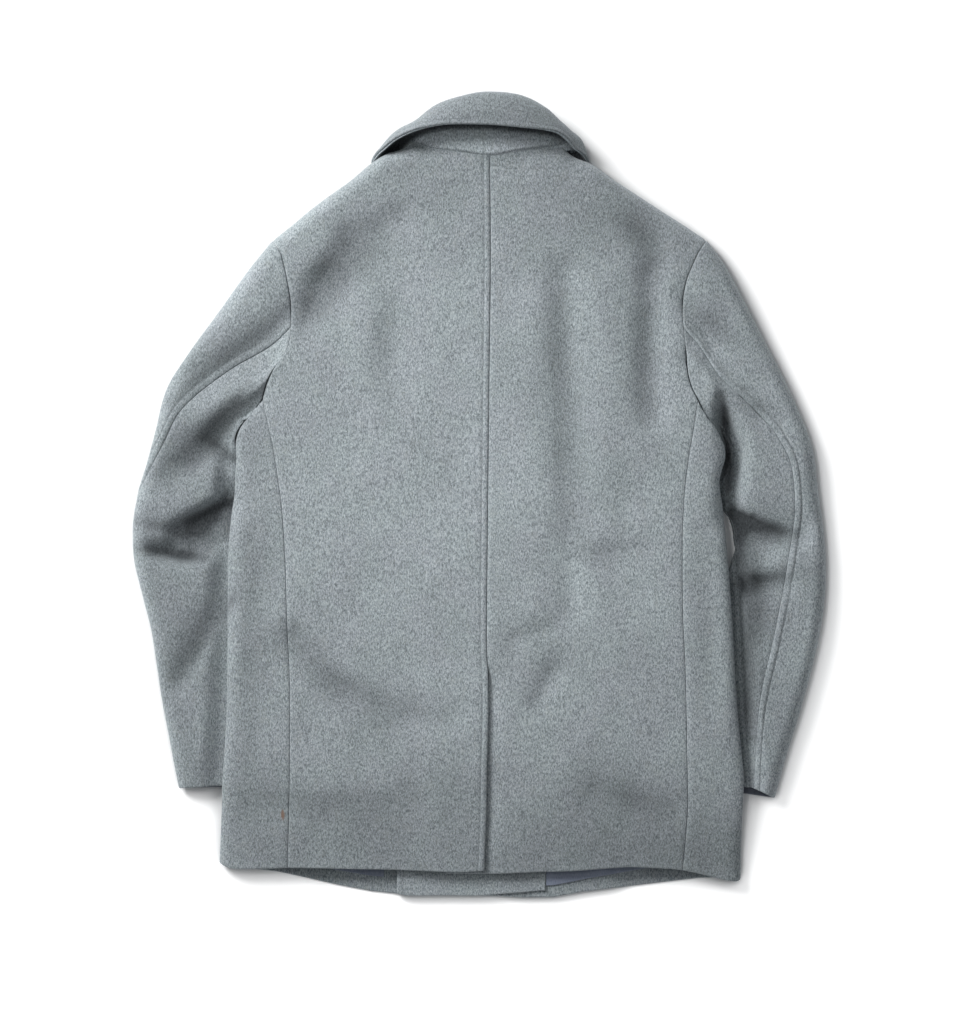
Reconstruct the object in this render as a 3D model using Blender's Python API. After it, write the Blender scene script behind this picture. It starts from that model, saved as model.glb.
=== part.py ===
"""A pea coat laid face down with its back up: wool panels as walls with the coat's hollow left open.

The frame is in metres with +Z up, the collar at +Y and the floor at Z = 0. Sizes below are in
millimetres. "Outward" means away from the centre line, so one table of outward distances serves a
side, with sign -1 for the wearer's left (at -X) and +1 for the right.
"""

import bpy
import numpy as np

MM = 0.001
WALL = 2.6            # wool melton
COLLAR_WALL = 2.4
FACING_WALL = 1.8
LINING_WALL = 1.0
SEAM_GAP = 0.3
LAYER_GAP = 0.7       # between cloth lying on cloth
FRONT_GAP = 1.4       # between the two fronts
ROLL = 16.0           # how far in from an edge the cloth starts to turn round it
SIDE_TURN = 30.0      # from the side edge in to the side seam below
SLEEVE_TOP_UNDER = 9.6    # a sleeve's height where the body lies on it
BODY_OVER_SLEEVE = 11.6   # the body's underside there
COLLAR_RAISE = 7.2        # the fronts' underside over the collar ends
BUTTON_RAISE = 5.0        # and over the buttons
BUTTON_FIELD = (4.0, 76.0, 108.0, 165.0)   # middle x, y and half sizes of the raised field
LEFT, RIGHT = -1, 1
MIDDLE = (-3.75, -1.15)    # x, y of the middle of the drawn sizes, which becomes the origin

# Lattices of the panels
LOW_ROWS = 17             # from the hem to the underarm
ARMHOLE_ROWS = 8          # from there to the roll of the shoulder
TURN_ROWS = [1.27, 1.52, 1.76, 1.965]                    # round that roll
SIDE_PLACES = [0, 0.5, 1, 1.25, 1.5, 1.75, 2, 2.5, 3]    # round the side panel
SHOULDER_COLUMNS = 6
FRONT_PLACES = [0.53, 0.6, 0.68, 0.76, 0.84, 0.92, 1.0]  # across a front, past the shoulder
BACK_NECK_SHARE = 0.34    # share of the back's top edge that is neckline
FRONT_SHOULDER_SHARE = 0.5
FACING_COLUMN = 7         # the front column where the facing starts
LINING_END = {LEFT: 5, RIGHT: 7}
HEM_TURN = 14.0

# Centre back seam: y, x
CENTRE = [(-430, 1.5), (-399, 1.6), (-345, 3.7), (-281, 4.8), (-228, 6.1), (-196, 5.8),
          (-154, 3.9), (-59, 4.7), (100, 6.4), (258, 8.1), (362, 7.4)]
VENT_TOP = -200.0
VENT_LAP = 42.0
VENT_STEP = 2.2

# Side edge of the body: y, outward distance
SIDE_EDGE = {
    LEFT: [(-430, 280), (-397, 277.5), (-389, 279.5), (-371, 278.8), (-334, 277.1), (-308, 276.4),
           (-271, 274), (-228, 271.8), (-175, 270.9), (-112, 270.7), (-59, 269.7), (-22, 266.6),
           (0, 263.4), (21, 262.4), (39, 261.3), (53, 262), (110, 262)],
    RIGHT: [(-430, 273), (-398, 273.5), (-377, 273.8), (-329, 275.6), (-305, 276.7), (-271, 274),
            (-239, 270.8), (-197, 267.7), (-144, 265), (-96, 261.8), (-54, 258.3), (-12, 253.9),
            (13, 250.7), (26, 253.3), (41, 257), (50, 256.5), (62, 254), (110, 254)],
}
# Seam between back and side panel: y, outward distance
BACK_SEAM = {
    LEFT: [(-430, 207), (-396, 207.1), (-376, 206.7), (-334, 205.6), (-260, 204.8), (-188, 205.1),
           (-131, 207.8), (-65, 209.9), (-11, 213.6), (17.5, 217.5), (49, 222.6), (76, 228.6),
           (100.2, 233.7), (120, 238)],
    RIGHT: [(-430, 211), (-398, 211.9), (-367, 214.7), (-324, 217), (-260, 216), (-188, 214.5),
            (-122, 211.6), (-57, 211.3), (0, 213.6), (37, 217.8), (66, 222.6), (99.1, 227.9),
            (120, 232)],
}
# Armhole on the back, from the side panel's top corner to the roll of the shoulder: y, outward
ARMHOLE_BACK = {
    LEFT: [(100.2, 233.7), (110, 231.2), (118.2, 228.6), (138.3, 218.5), (146.8, 212), (157.4, 206.6),
           (178.6, 203.5), (204.1, 203.7), (222.1, 206.3), (243.3, 210.8), (255.5, 214)],
    RIGHT: [(99.1, 227.9), (108, 223.5), (118.2, 219.4), (135.2, 216), (160.6, 214.4), (179.7, 212.4),
            (204.1, 211.6), (216.8, 213.1), (229.5, 216.2), (243.3, 222), (255.5, 227.5)],
}
# Armhole below, on the front, from the under side seam to the roll of the shoulder: y, outward
ARMHOLE_FRONT = {
    LEFT: [(46, 231.5), (64, 221), (90, 212), (130, 204), (175, 200), (215, 202), (240, 207), (255.5, 213)],
    RIGHT: [(42, 226), (62, 216), (90, 208), (130, 203), (175, 203), (215, 210), (240, 219), (255.5, 226.5)],
}
SHOULDER_TIP = {LEFT: (222.6, 269.8), RIGHT: (236.9, 269.8)}   # outward, y
# Shoulder seam from the neck to the tip: outward, y, height
SHOULDER = {
    LEFT: [(72, 374.7, 22), (79.5, 369.8, 21), (86, 366.2, 20), (103, 361, 18), (117.7, 351.9, 16),
           (139.9, 333.4, 15), (162.2, 317.5, 14.5), (183.4, 301.6, 14), (202.5, 285.7, 14),
           (222.6, 269.8, 14)],
    RIGHT: [(84, 370, 22), (88, 365, 21), (93, 360.5, 20), (100, 356.5, 18), (114.5, 350.9, 16),
            (139.4, 333.4, 15), (163.8, 317.5, 14.5), (188.2, 301.6, 14), (213.1, 285.7, 14),
            (236.9, 269.8, 14)],
}
# Back neckline from the centre to the shoulder: outward, y, height
NECK_BACK = {
    LEFT: [(-7.4, 361.5, 33), (6, 362, 33), (13.8, 363.1, 32.6), (38.2, 366.8, 30), (62.5, 370.5, 25.5),
           (72, 374.7, 22)],
    RIGHT: [(7.4, 361.5, 33), (16, 362.5, 33), (29.7, 364.6, 32), (49.8, 367.8, 29.5), (65.7, 369.9, 26.5),
            (84, 370, 22)],
}
# Hem of the back: outward, y
HEM_BACK = {
    LEFT: [(-1.6, -399.1), (26.5, -400.6), (56, -399.6), (97.5, -398), (138, -397.3), (178, -396.4),
           (207.1, -395.9)],
    RIGHT: [(1.6, -402.3), (40.3, -402.3), (83.7, -400.4), (116.6, -399.3), (144.2, -396.8),
            (166.4, -395.2), (183.4, -396.1), (200.3, -397.2), (211.9, -398.6)],
}
# Hem and top edge of the side panel by place round it: place (0 back seam, 1 and 2 the turns,
# 3 side seam below), y of the hem, y of the top
SIDE_ENDS = {
    LEFT: [(0, -395.9, 100.2), (0.5, -397, 93.5), (1, -397.5, 84), (1.25, -395, 71), (1.5, -391, 56),
           (1.75, -393, 45), (2, -396, 40), (2.5, -397.5, 41), (3, -397.5, 46)],
    RIGHT: [(0, -398.6, 99.1), (0.5, -403.5, 90), (1, -409, 80), (1.25, -410.5, 67), (1.5, -408, 52),
            (1.75, -406, 42), (2, -405.5, 37), (2.5, -406, 38), (3, -406.5, 42)],
}
# Hem of the fronts: x, y
HEM_FRONT = [(-290, -397), (-241.7, -397.5), (-218.9, -399.9), (-198.5, -404.1), (-178.3, -408.6),
             (-157.9, -413.2), (-137.8, -417.1), (-117.7, -420.8), (-91.2, -423.5), (-81, -425.7),
             (-37.1, -425.3), (18, -425.9), (40.3, -427.5), (75.3, -427), (104.9, -421.6),
             (148.4, -416.1), (191.9, -410.8), (230, -406.5), (290, -405)]
FREE_EDGE = {LEFT: 99.6, RIGHT: -91.2}   # x of each front's free edge
# Top edge of a front, from the shoulder at the neck to its free edge: share of the way, y, height
# above the front's own level
NECK_FRONT = [(0.0, 374, 1.0), (0.12, 352, 0.75), (0.26, 325, 0.35), (0.42, 306, 0.0), (0.6, 301, 0.0),
              (0.8, 297, 0.0), (1.0, 290, 0.0)]

# Height of the back along the coat: y, height
BACK_HEIGHT = [(-430, 17), (-400, 17.5), (-370, 20.5), (-320, 25), (-250, 28), (-150, 30), (0, 31),
               (150, 31), (250, 30.5), (300, 31), (345, 32.5), (362, 33.5), (400, 33.5)]
# Soft troughs (positive depth) and ridges (negative) of the upper cloth, each a line between two
# points: x0, y0, x1, y1, half width, depth
FOLDS = [
    (-88, 296, -141, 275, 16, 3.2),
    (-141, 275, -180, 225, 15, 3.4),
    (-180, 225, -192, 180, 14, 2.6),
    (-130, 255, -125, 170, 30, -2.0),
    (-100, 172, -95, 135, 16, 2.0),
    (168, 275, 186, 250, 16, 3.0),
    (178, 228, 176, 80, 17, 3.4),
    (88, 235, 92, -110, 17, 2.8),
    (55, 200, 50, 40, 20, -1.4),
    (128, 215, 130, -40, 18, -1.5),
    (-194, -155, -146, -207, 18, 2.4),
    (-146, -207, -35, -238, 20, 2.2),
    (34, -154, 92, -128, 13, 2.2),
    (60, -218, 82, -176, 15, 2.4),
    (124, -60, 166, -110, 16, 2.2),
    (124, -312, 188, -340, 22, 2.6),
    (-245, -120, -243, -300, 14, 1.4),
    (241, -40, 243, -230, 13, 1.8),
    (-199, 190, -305, 142, 20, 3.2),
    (-247, 111, -348, 20, 19, 4.2),
    (-255, 105, -273, 52, 12, -2.4),
    (-276, 47, -279, 40, 11, 2.4),
    (-266, -6, -326, -59, 18, 5.2),
    (-326, -40, -366, -32, 11, 2.0),
    (-284, -122, -330, -197, 18, 3.4),
    (245, 186, 212, 212, 17, 3.0),
    (222, 140, 232, 124, 13, 2.4),
    (258, 100, 268, -60, 15, 3.6),
    (262, -20, 338, -36, 15, 5.4),
    (278, -95, 320, -98, 13, 3.0),
    (315, -68, 330, -72, 15, -2.2),
    (290, -180, 300, -280, 16, -1.6),
]
# Where the sleeves lie below the body: y, outward distance of the sleeve's inner fold
SLEEVE_REACH = {
    LEFT: [(-430, 200), (-330, 190), (-300, 174), (-110, 174), (-20, 190), (60, 200), (200, 200), (380, 170)],
    RIGHT: [(-430, 200), (-330, 176), (-300, 172), (-240, 176), (-180, 196), (-100, 228), (0, 236),
            (60, 212), (200, 204), (380, 170)],
}
RAISE_ALONG = [(-430, 0), (-392, 0), (-325, 1), (60, 1), (110, 0.8), (180, 0.2), (230, 0.0), (400, 0.0)]

# Sleeves, from armhole to cuff: outer edge x, y; point at the body's edge x, y; hidden inner fold
# x, y; height
SLEEVE = {
    LEFT: [
        (222.6, 269.8, 262.5, 53, 240, 39, 27),
        (252.2, 232.6, 269, 47, 234, 26, 27),
        (281.6, 191.6, 269, 37, 227, 12, 26),
        (311, 151.4, 267.5, 25, 220, -2, 25),
        (335.6, 111.6, 266.5, 10, 214, -18, 24.5),
        (347.8, 65.4, 266.5, -4, 208, -38, 24),
        (358.4, 26.4, 268.5, -22, 202, -58, 23.5),
        (367.4, -5.6, 271, -44, 197, -80, 23),
        (371.5, -37.6, 272.5, -68, 192, -104, 22.5),
        (370, -70, 273.5, -94, 188, -128, 22),
        (361, -108, 273.5, -122, 185, -154, 21.5),
        (352, -143.6, 274, -152, 183, -182, 21),
        (346, -182, 275, -187, 182, -210, 20),
        (340.3, -220, 276.5, -222, 181, -237, 19.5),
        (333, -258, 278, -258, 181, -262, 19),
        (327, -290, 279.5, -289, 181, -284, 18),
        (322.5, -312, 281, -309, 181, -302, 17),
    ],
    RIGHT: [
        (236.9, 269.8, 256.5, 50, 236, 36, 27),
        (255, 244, 266, 46, 240, 26, 27),
        (277, 203, 266, 38, 243, 16, 26),
        (300, 159, 262, 25, 244, 6, 25),
        (320, 121, 259, 12, 246, -4, 24.5),
        (336, 86, 258.5, 0, 250, -12, 24),
        (350, 47, 262, -12, 257, -20, 24),
        (356, 0, 267, -24, 264, -30, 23),
        (360.5, -32, 270, -42, 267, -46, 22.5),
        (363.6, -70, 270, -62, 266, -66, 22),
        (363, -105, 266, -88, 254, -92, 22),
        (359, -138, 268, -116, 236, -118, 22),
        (352, -172, 271, -150, 221, -146, 21.5),
        (343, -207, 273.5, -186, 207, -176, 21),
        (333, -242, 276, -222, 195, -206, 20),
        (322, -277, 279, -262, 186, -238, 19),
        (309.5, -322, 280.5, -309, 181, -270, 18),
    ],
}
# Elbow seam of each sleeve: way down the sleeve (0 to 1), place round the ring (0 outer edge,
# 1 body's edge, below 0 on the underside)
ELBOW_SEAM = {
    LEFT: [(0, 0.51), (0.05, 0.505), (0.09, 0.475), (0.125, 0.445), (0.19, 0.425), (0.25, 0.405),
           (0.31, 0.33), (0.375, 0.18), (0.44, -0.02), (0.52, -0.15), (0.7, -0.25), (1, -0.3)],
    RIGHT: [(0, 0.51), (0.06, 0.534), (0.125, 0.58), (0.19, 0.564), (0.25, 0.55), (0.31, 0.507),
            (0.375, 0.476), (0.44, 0.494), (0.5, 0.549), (0.56, 0.609), (0.625, 0.634), (0.69, 0.672),
            (0.75, 0.712), (0.81, 0.765), (0.875, 0.82), (0.94, 0.85), (1, 0.86)],
}
UNDER_SEAM = [(0, 2.3), (0.5, 2.45), (1, 2.45)]

# Collar from its left end round the neck to its right end. Each line: the neck seam, the turn
# and the free edge as x, y, z, then how open the turn is.
COLLAR = [
    (-50, 262, 3.3, -78, 258, 3.3, -106, 254, 3.3, 0),
    (-54, 300, 3.2, -84, 297, 3.2, -110, 293, 3.2, 0),
    (-62, 322, 3.3, -89, 322, 3.2, -114, 320, 3.2, 0),
    (-68, 340, 3.6, -93, 342, 3.3, -117, 338, 3.4, 0),
    (-75, 355, 3.9, -97, 356, 3.6, -118, 350, 6.5, 2),
    (-83, 368, 6.2, -98, 368, 6.0, -113, 359.5, 18, 5),
    (-86, 376, 12, -94, 377, 13, -104.5, 366.5, 33, 8),
    (-79, 377, 18.5, -84, 385, 22, -92, 376, 46, 10),
    (-67.5, 373.7, 24.4, -70, 392, 30, -73, 384.5, 54, 11),
    (-50, 368.8, 28.4, -50, 408.5, 36, -51, 389.5, 58.5, 13),
    (-28, 366.0, 31.3, -24, 418, 41, -30, 391.2, 60.5, 14),
    (7, 361.9, 32.8, 5, 423, 44, 6.4, 390.6, 61.5, 14),
    (36, 366.5, 31.5, 38, 420, 41, 43, 387.5, 60, 14),
    (62, 370.0, 27.6, 65, 407, 35, 64, 385.5, 57, 13),
    (79, 372.4, 26.4, 82, 391, 27, 79.5, 382, 52, 12),
    (91.5, 375.4, 25.0, 93, 382, 19, 89.5, 374.5, 44, 10),
    (96, 373, 12, 101.5, 375.5, 12, 97, 366, 33, 8),
    (90, 366, 6.2, 104, 367, 6.0, 106, 360, 18, 5),
    (80, 353, 3.9, 100, 355, 3.6, 112.5, 351, 6.5, 2),
    (72, 339, 3.6, 96, 340, 3.3, 114, 338, 3.4, 0),
    (64, 322, 3.3, 90, 322, 3.2, 114, 320, 3.2, 0),
    (56, 300, 3.2, 84, 297, 3.2, 110, 293, 3.2, 0),
    (50, 262, 3.3, 78, 258, 3.3, 106, 254, 3.3, 0),
]
# Buttons: x, y
BUTTONS = [(70, 196), (70, 76), (70, -44), (-62, 196), (-62, 76), (-62, -44)]

# Colours: name, red, green, blue, roughness
COLOURS = {
    "wool": (0.27, 0.31, 0.33, 0.95),
    "satin": (0.12, 0.15, 0.18, 0.45),
    "horn": (0.03, 0.03, 0.035, 0.35),
}


def smooth_step(value):
    """0 below 0, 1 above 1, and a soft change between."""
    value = np.clip(value, 0.0, 1.0)
    return value * value * (3.0 - 2.0 * value)


def along(table, column, place):
    """A column of a table at a place given by its first column, on a smooth curve through the rows."""
    rows = np.asarray(table, float)
    xs = rows[:, 0]
    ys = rows[:, column]
    steps = np.diff(ys) / np.diff(xs)
    slopes = np.concatenate([steps[:1], (steps[1:] + steps[:-1]) / 2.0, steps[-1:]])
    turns = np.concatenate([[False], steps[1:] * steps[:-1] <= 0.0, [False]])
    slopes[turns] = 0.0
    place = np.clip(place, xs[0], xs[-1])
    low = np.clip(np.searchsorted(xs, place, side="right") - 1, 0, len(xs) - 2)
    width = xs[low + 1] - xs[low]
    t = (place - xs[low]) / width
    first = (1 + 2 * t) * (1 - t) ** 2 * ys[low] + t * (1 - t) ** 2 * width * slopes[low]
    last = t * t * (3 - 2 * t) * ys[low + 1] + t * t * (t - 1) * width * slopes[low + 1]
    return first + last


def by_length(points):
    """A table with the share of the way along the points in front of each point."""
    rows = np.asarray(points, float)
    steps = np.hypot(np.diff(rows[:, 0]), np.diff(rows[:, 1]))
    share = np.concatenate([[0.0], np.cumsum(steps)])
    return np.column_stack([share / share[-1], rows])


def folds(x, y):
    """How far the folds lower the upper cloth at x, y."""
    drop = np.zeros(np.broadcast(x, y).shape)
    for x0, y0, x1, y1, width, depth in FOLDS:
        run = np.array([x1 - x0, y1 - y0], float)
        t = ((x - x0) * run[0] + (y - y0) * run[1]) / (run @ run)
        t = np.clip(t, 0.0, 1.0)
        away = np.hypot(x - x0 - t * run[0], y - y0 - t * run[1])
        drop = drop + depth * np.exp(-((away / width) ** 2))
    return drop


def back_top(x, y):
    """Height of the back's outer face."""
    return along(BACK_HEIGHT, 1, y) - 2.5 * (x / 270.0) ** 2 - folds(x, y)


def front_bottom(x, y):
    """Height of the outer front's outer face, which is below."""
    raise_sleeve = np.zeros(np.broadcast(x, y).shape)
    for side in (LEFT, RIGHT):
        reach = along(SLEEVE_REACH[side], 1, y)
        raise_sleeve = raise_sleeve + smooth_step((side * x - reach + 42.0) / 38.0)
    level = BODY_OVER_SLEEVE * raise_sleeve * along(RAISE_ALONG, 1, y)
    near_neck = smooth_step((y - 222.0) / 26.0) * smooth_step((160.0 - np.abs(x)) / 26.0)
    level = np.maximum(level, COLLAR_RAISE * near_neck)
    middle_x, middle_y, half_x, half_y = BUTTON_FIELD
    across = smooth_step((half_x + 70.0 - np.abs(x - middle_x)) / 70.0)
    up = smooth_step((half_y + 90.0 - np.abs(y - middle_y)) / 90.0)
    return np.maximum(level, BUTTON_RAISE * across * up)


def front_level(side, x, y):
    """Height of a front's outer face: the right front steps over the left one's free edge."""
    level = front_bottom(x, y)
    if side == RIGHT:
        level = level + (WALL + FRONT_GAP) * smooth_step((FREE_EDGE[LEFT] + 62.0 - x) / 34.0)
    return level


def coons(u, v, left, right, bottom, top):
    """The plane points of a patch between four edges, each a function that gives x, y."""
    corners = [bottom(0.0), bottom(1.0), top(0.0), top(1.0)]
    result = []
    for axis in (0, 1):
        sides = (1 - u) * left(v)[axis] + u * right(v)[axis]
        ends = (1 - v) * bottom(u)[axis] + v * top(u)[axis]
        low = (1 - u) * corners[0][axis] + u * corners[1][axis]
        high = (1 - u) * corners[2][axis] + u * corners[3][axis]
        result.append(sides + ends - (1 - v) * low - v * high)
    return result


def back_top_edge(side, u, inset):
    """x, y, height of the back's top edge; inset moves it in by the width of the turn."""
    neck = by_length(NECK_BACK[side])
    shoulder = by_length(SHOULDER[side])
    split = BACK_NECK_SHARE
    on_neck = np.clip(u / split, 0.0, 1.0)
    on_shoulder = np.clip((u - split) / (1.0 - split), 0.0, 1.0)
    first = u < split
    out = np.where(first, along(neck, 1, on_neck), along(shoulder, 1, on_shoulder))
    y = np.where(first, along(neck, 2, on_neck), along(shoulder, 2, on_shoulder))
    z = np.where(first, along(neck, 3, on_neck), along(shoulder, 3, on_shoulder))
    if inset:
        # The turn leads straight in from the neck and towards the armhole's line at the tip.
        tip = ARMHOLE_BACK[side][-1]
        tip_move = (tip[1] - SHOULDER_TIP[side][0], tip[0] - SHOULDER_TIP[side][1])
        blend = smooth_step((u - split) / (1.0 - split))
        out = out + (1 - blend) * (-3.0 * smooth_step(u / split)) + blend * tip_move[0]
        y = y + (1 - blend) * -15.0 + blend * tip_move[1]
    return out, y, z


def back_point(side, u, v):
    """Outer face of a back panel: u from the centre seam out, v from the hem up, 1 to 2 the turn."""
    low = np.minimum(v, 1.0)
    armhole = ARMHOLE_BACK[side]
    hem = HEM_BACK[side]
    start = hem[-1][1]
    end = armhole[-1][0]
    hem_y = hem[0][1]

    def centre_edge(t):
        y = hem_y + t * (NECK_BACK[side][0][1] - 15.0 - hem_y)
        lap = VENT_LAP * smooth_step((VENT_TOP - y) / 20.0) if side == RIGHT else 0.0
        return side * along(CENTRE, 1, y) - lap, y

    def outer_edge(t):
        y = start + t * (end - start)
        out = np.where(y < armhole[0][0], along(BACK_SEAM[side], 1, y), along(armhole, 1, y))
        return out, y

    def hem_edge(t):
        table = by_length(hem)
        return along(table, 1, t), along(table, 2, t)

    def top_edge(t):
        return back_top_edge(side, t, True)[:2]

    out, y = coons(u, low, centre_edge, outer_edge, hem_edge, top_edge)
    edge_out, edge_y, edge_z = back_top_edge(side, u, False)
    turn = np.radians(90.0 * (2.0 - np.maximum(v, 1.0)))
    inward = 1.0 - np.cos(turn)
    turning = v > 1.0
    out = np.where(turning, edge_out + (out - edge_out) * inward, out)
    y = np.where(turning, edge_y + (y - edge_y) * inward, y)
    split = BACK_NECK_SHARE
    round_over = smooth_step((u - split) / 0.12 + 0.5)
    rise = round_over * np.sin(turn) + (1 - round_over) * smooth_step(inward)
    level = back_top(side * out, y) + vent_lift(side, side * out, y)
    z = np.where(turning, edge_z + (level - edge_z) * rise, level)
    return np.stack([side * out, y, z], axis=-1)


def vent_lift(side, x, y):
    """The left half rises over the vent, the right half sinks below it."""
    open_below = smooth_step((VENT_TOP + 26.0 - y) / 24.0)
    away = side * (x - along(CENTRE, 1, y))
    if side == LEFT:
        return VENT_STEP * open_below * smooth_step((84.0 - away) / 36.0)
    return -VENT_STEP * open_below * smooth_step((20.0 - away) / 18.0)


def side_point(side, u, v):
    """Outer face of a side panel: u 0 to 1 above, 1 to 2 the turn, 2 to 3 below; v from the hem."""
    hem_y = along(SIDE_ENDS[side], 1, u)
    top_y = along(SIDE_ENDS[side], 2, u)
    y = hem_y + v * (top_y - hem_y)
    edge = along(SIDE_EDGE[side], 1, y)
    seam = along(BACK_SEAM[side], 1, y)
    turn = np.radians(90.0 - 180.0 * np.clip(u - 1.0, 0.0, 1.0))
    above = seam + np.clip(u, 0.0, 1.0) * (edge - ROLL - seam)
    rolled = edge - ROLL * (1.0 - np.cos(turn))
    below = edge - ROLL - np.clip(u - 2.0, 0.0, 1.0) * (SIDE_TURN - ROLL)
    out = np.where(u < 1.0, above, np.where(u <= 2.0, rolled, below))
    top = back_top(side * out, y)
    bottom = front_level(side, side * out, y)
    middle = (top + bottom) / 2.0
    z = middle + (top - bottom) / 2.0 * np.sin(turn)
    return np.stack([side * out, y, z], axis=-1)


def front_point(side, u, v):
    """Outer face of a front: u from the side seam to the free edge, v from the hem up, 1 to 2 the
    shoulder's turn."""
    low = np.minimum(v, 1.0)
    armhole = ARMHOLE_FRONT[side]
    hem_y = SIDE_ENDS[side][-1][1]
    end = armhole[-1][0]
    split = FRONT_SHOULDER_SHARE
    free_x = side * FREE_EDGE[side]
    shoulder = by_length(SHOULDER[side])
    neck_out = SHOULDER[side][0][0]

    def side_edge(t):
        y = hem_y + t * (end - hem_y)
        under = along(SIDE_EDGE[side], 1, y) - SIDE_TURN
        return np.where(y < armhole[0][0], under, along(armhole, 1, y)), y

    def free_edge(t):
        start = np.interp(side * free_x, *np.transpose(HEM_FRONT))
        return free_x + 0 * t, start + t * (NECK_FRONT[-1][1] - 2.0 - start)

    def hem_edge(t):
        first = along(SIDE_EDGE[side], 1, hem_y) - SIDE_TURN
        out = first + t * (free_x - first)
        y = np.interp(side * out, *np.transpose(HEM_FRONT))
        start = np.interp(side * first, *np.transpose(HEM_FRONT))
        return out, y + (hem_y - start) * (1 - t)

    def top(t, inset):
        on_shoulder = np.clip(1.0 - t / split, 0.0, 1.0)
        on_neck = np.clip((t - split) / (1.0 - split), 0.0, 1.0)
        first = t < split
        neck_line = neck_out + on_neck * (free_x - neck_out)
        out = np.where(first, along(shoulder, 1, on_shoulder), neck_line)
        y = np.where(first, along(shoulder, 2, on_shoulder), along(NECK_FRONT, 1, on_neck))
        z = np.where(first, along(shoulder, 3, on_shoulder), 22.0)
        if inset:
            tip_move = (armhole[-1][1] - SHOULDER_TIP[side][0], armhole[-1][0] - SHOULDER_TIP[side][1])
            blend = smooth_step(1.0 - t / split)
            out = out + (1 - blend) * (-3.0 * smooth_step(1.0 - on_neck)) + blend * tip_move[0]
            y = y + (1 - blend) * (-12.0 + 10.0 * smooth_step(on_neck / 0.4)) + blend * tip_move[1]
        return out, y, z

    out, y = coons(u, low, side_edge, free_edge, hem_edge, lambda t: top(t, True)[:2])
    edge_out, edge_y, edge_z = top(u, False)
    turn = np.radians(90.0 * (2.0 - np.maximum(v, 1.0)))
    inward = 1.0 - np.cos(turn)
    turning = v > 1.0
    out = np.where(turning, edge_out + (out - edge_out) * inward, out)
    y = np.where(turning, edge_y + (y - edge_y) * inward, y)
    level = front_level(side, side * out, y)
    on_neck = np.clip((u - split) / (1.0 - split), 0.0, 1.0)
    edge_z = level + (edge_z - level) * along(NECK_FRONT, 2, on_neck)
    z = np.where(turning, edge_z + (level - edge_z) * np.sin(turn), level)
    return np.stack([side * out, y, z], axis=-1)


def sleeve_ring(side, t, place):
    """Points of a sleeve: t from armhole to cuff, place 0 outer edge, 1 body's edge, 2 inner fold,
    then below back to 3, the outer edge."""
    rows = np.asarray(SLEEVE[side], float)
    table = np.column_stack([np.linspace(0.0, 1.0, len(rows)), rows])
    outer = np.stack([along(table, 1, t), along(table, 2, t)])
    body = np.stack([along(table, 3, t), along(table, 4, t)])
    inner = np.stack([along(table, 5, t), along(table, 6, t)])
    height = along(table, 7, t)
    place = np.mod(place, 3.0)
    first = np.hypot(*(body - outer))
    second = np.hypot(*(inner - body))
    whole = first + second
    way = np.where(
        place < 1.0,
        (1.0 - np.cos(np.pi / 2 * np.clip(place, 0.0, 1.0))) * first,
        np.where(
            place < 2.0,
            first + np.sin(np.pi / 2 * np.clip(place - 1.0, 0.0, 1.0)) * second,
            (1.0 + np.cos(np.pi * np.clip(place - 2.0, 0.0, 1.0))) / 2 * whole,
        ),
    )
    share_first = np.clip(way / first, 0.0, 1.0)
    share_second = np.clip((way - first) / second, 0.0, 1.0)
    out, y = outer + (body - outer) * share_first + (inner - body) * share_second
    to_outer = way
    to_inner = whole - way
    edge = along(SIDE_EDGE[side], 1, y)
    clear = np.maximum(smooth_step((out - edge - 1.0) / 26.0), smooth_step((y - 44.0) / 46.0))
    upper = SLEEVE_TOP_UNDER + (height - folds(side * out, y) - SLEEVE_TOP_UNDER) * clear
    turn_out = np.clip(to_outer / 15.0, 0.0, 1.0)
    turn_in = np.clip(to_inner / 7.0, 0.0, 1.0)
    roll = np.sqrt(1 - (1 - turn_out) ** 2) * np.sqrt(1 - (1 - turn_in) ** 2)
    middle = np.where(to_outer < to_inner, height * 0.42, SLEEVE_TOP_UNDER / 2)
    mix = smooth_step((to_outer - first * 0.5) / (first * 0.5 + 1.0))
    middle = height * 0.42 * (1 - mix) + SLEEVE_TOP_UNDER / 2 * mix
    z = np.where(place < 2.0, middle + (upper - middle) * roll, middle - middle * roll)
    return np.stack([side * out, y, z], axis=-1)


def unit(vectors):
    return vectors / np.maximum(np.linalg.norm(vectors, axis=-1, keepdims=True), 1e-9)


def grid_normals(points):
    """Normals of a lattice from its own points."""
    across = np.gradient(points, axis=1)
    up = np.gradient(points, axis=0)
    return unit(np.cross(across, up))


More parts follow.
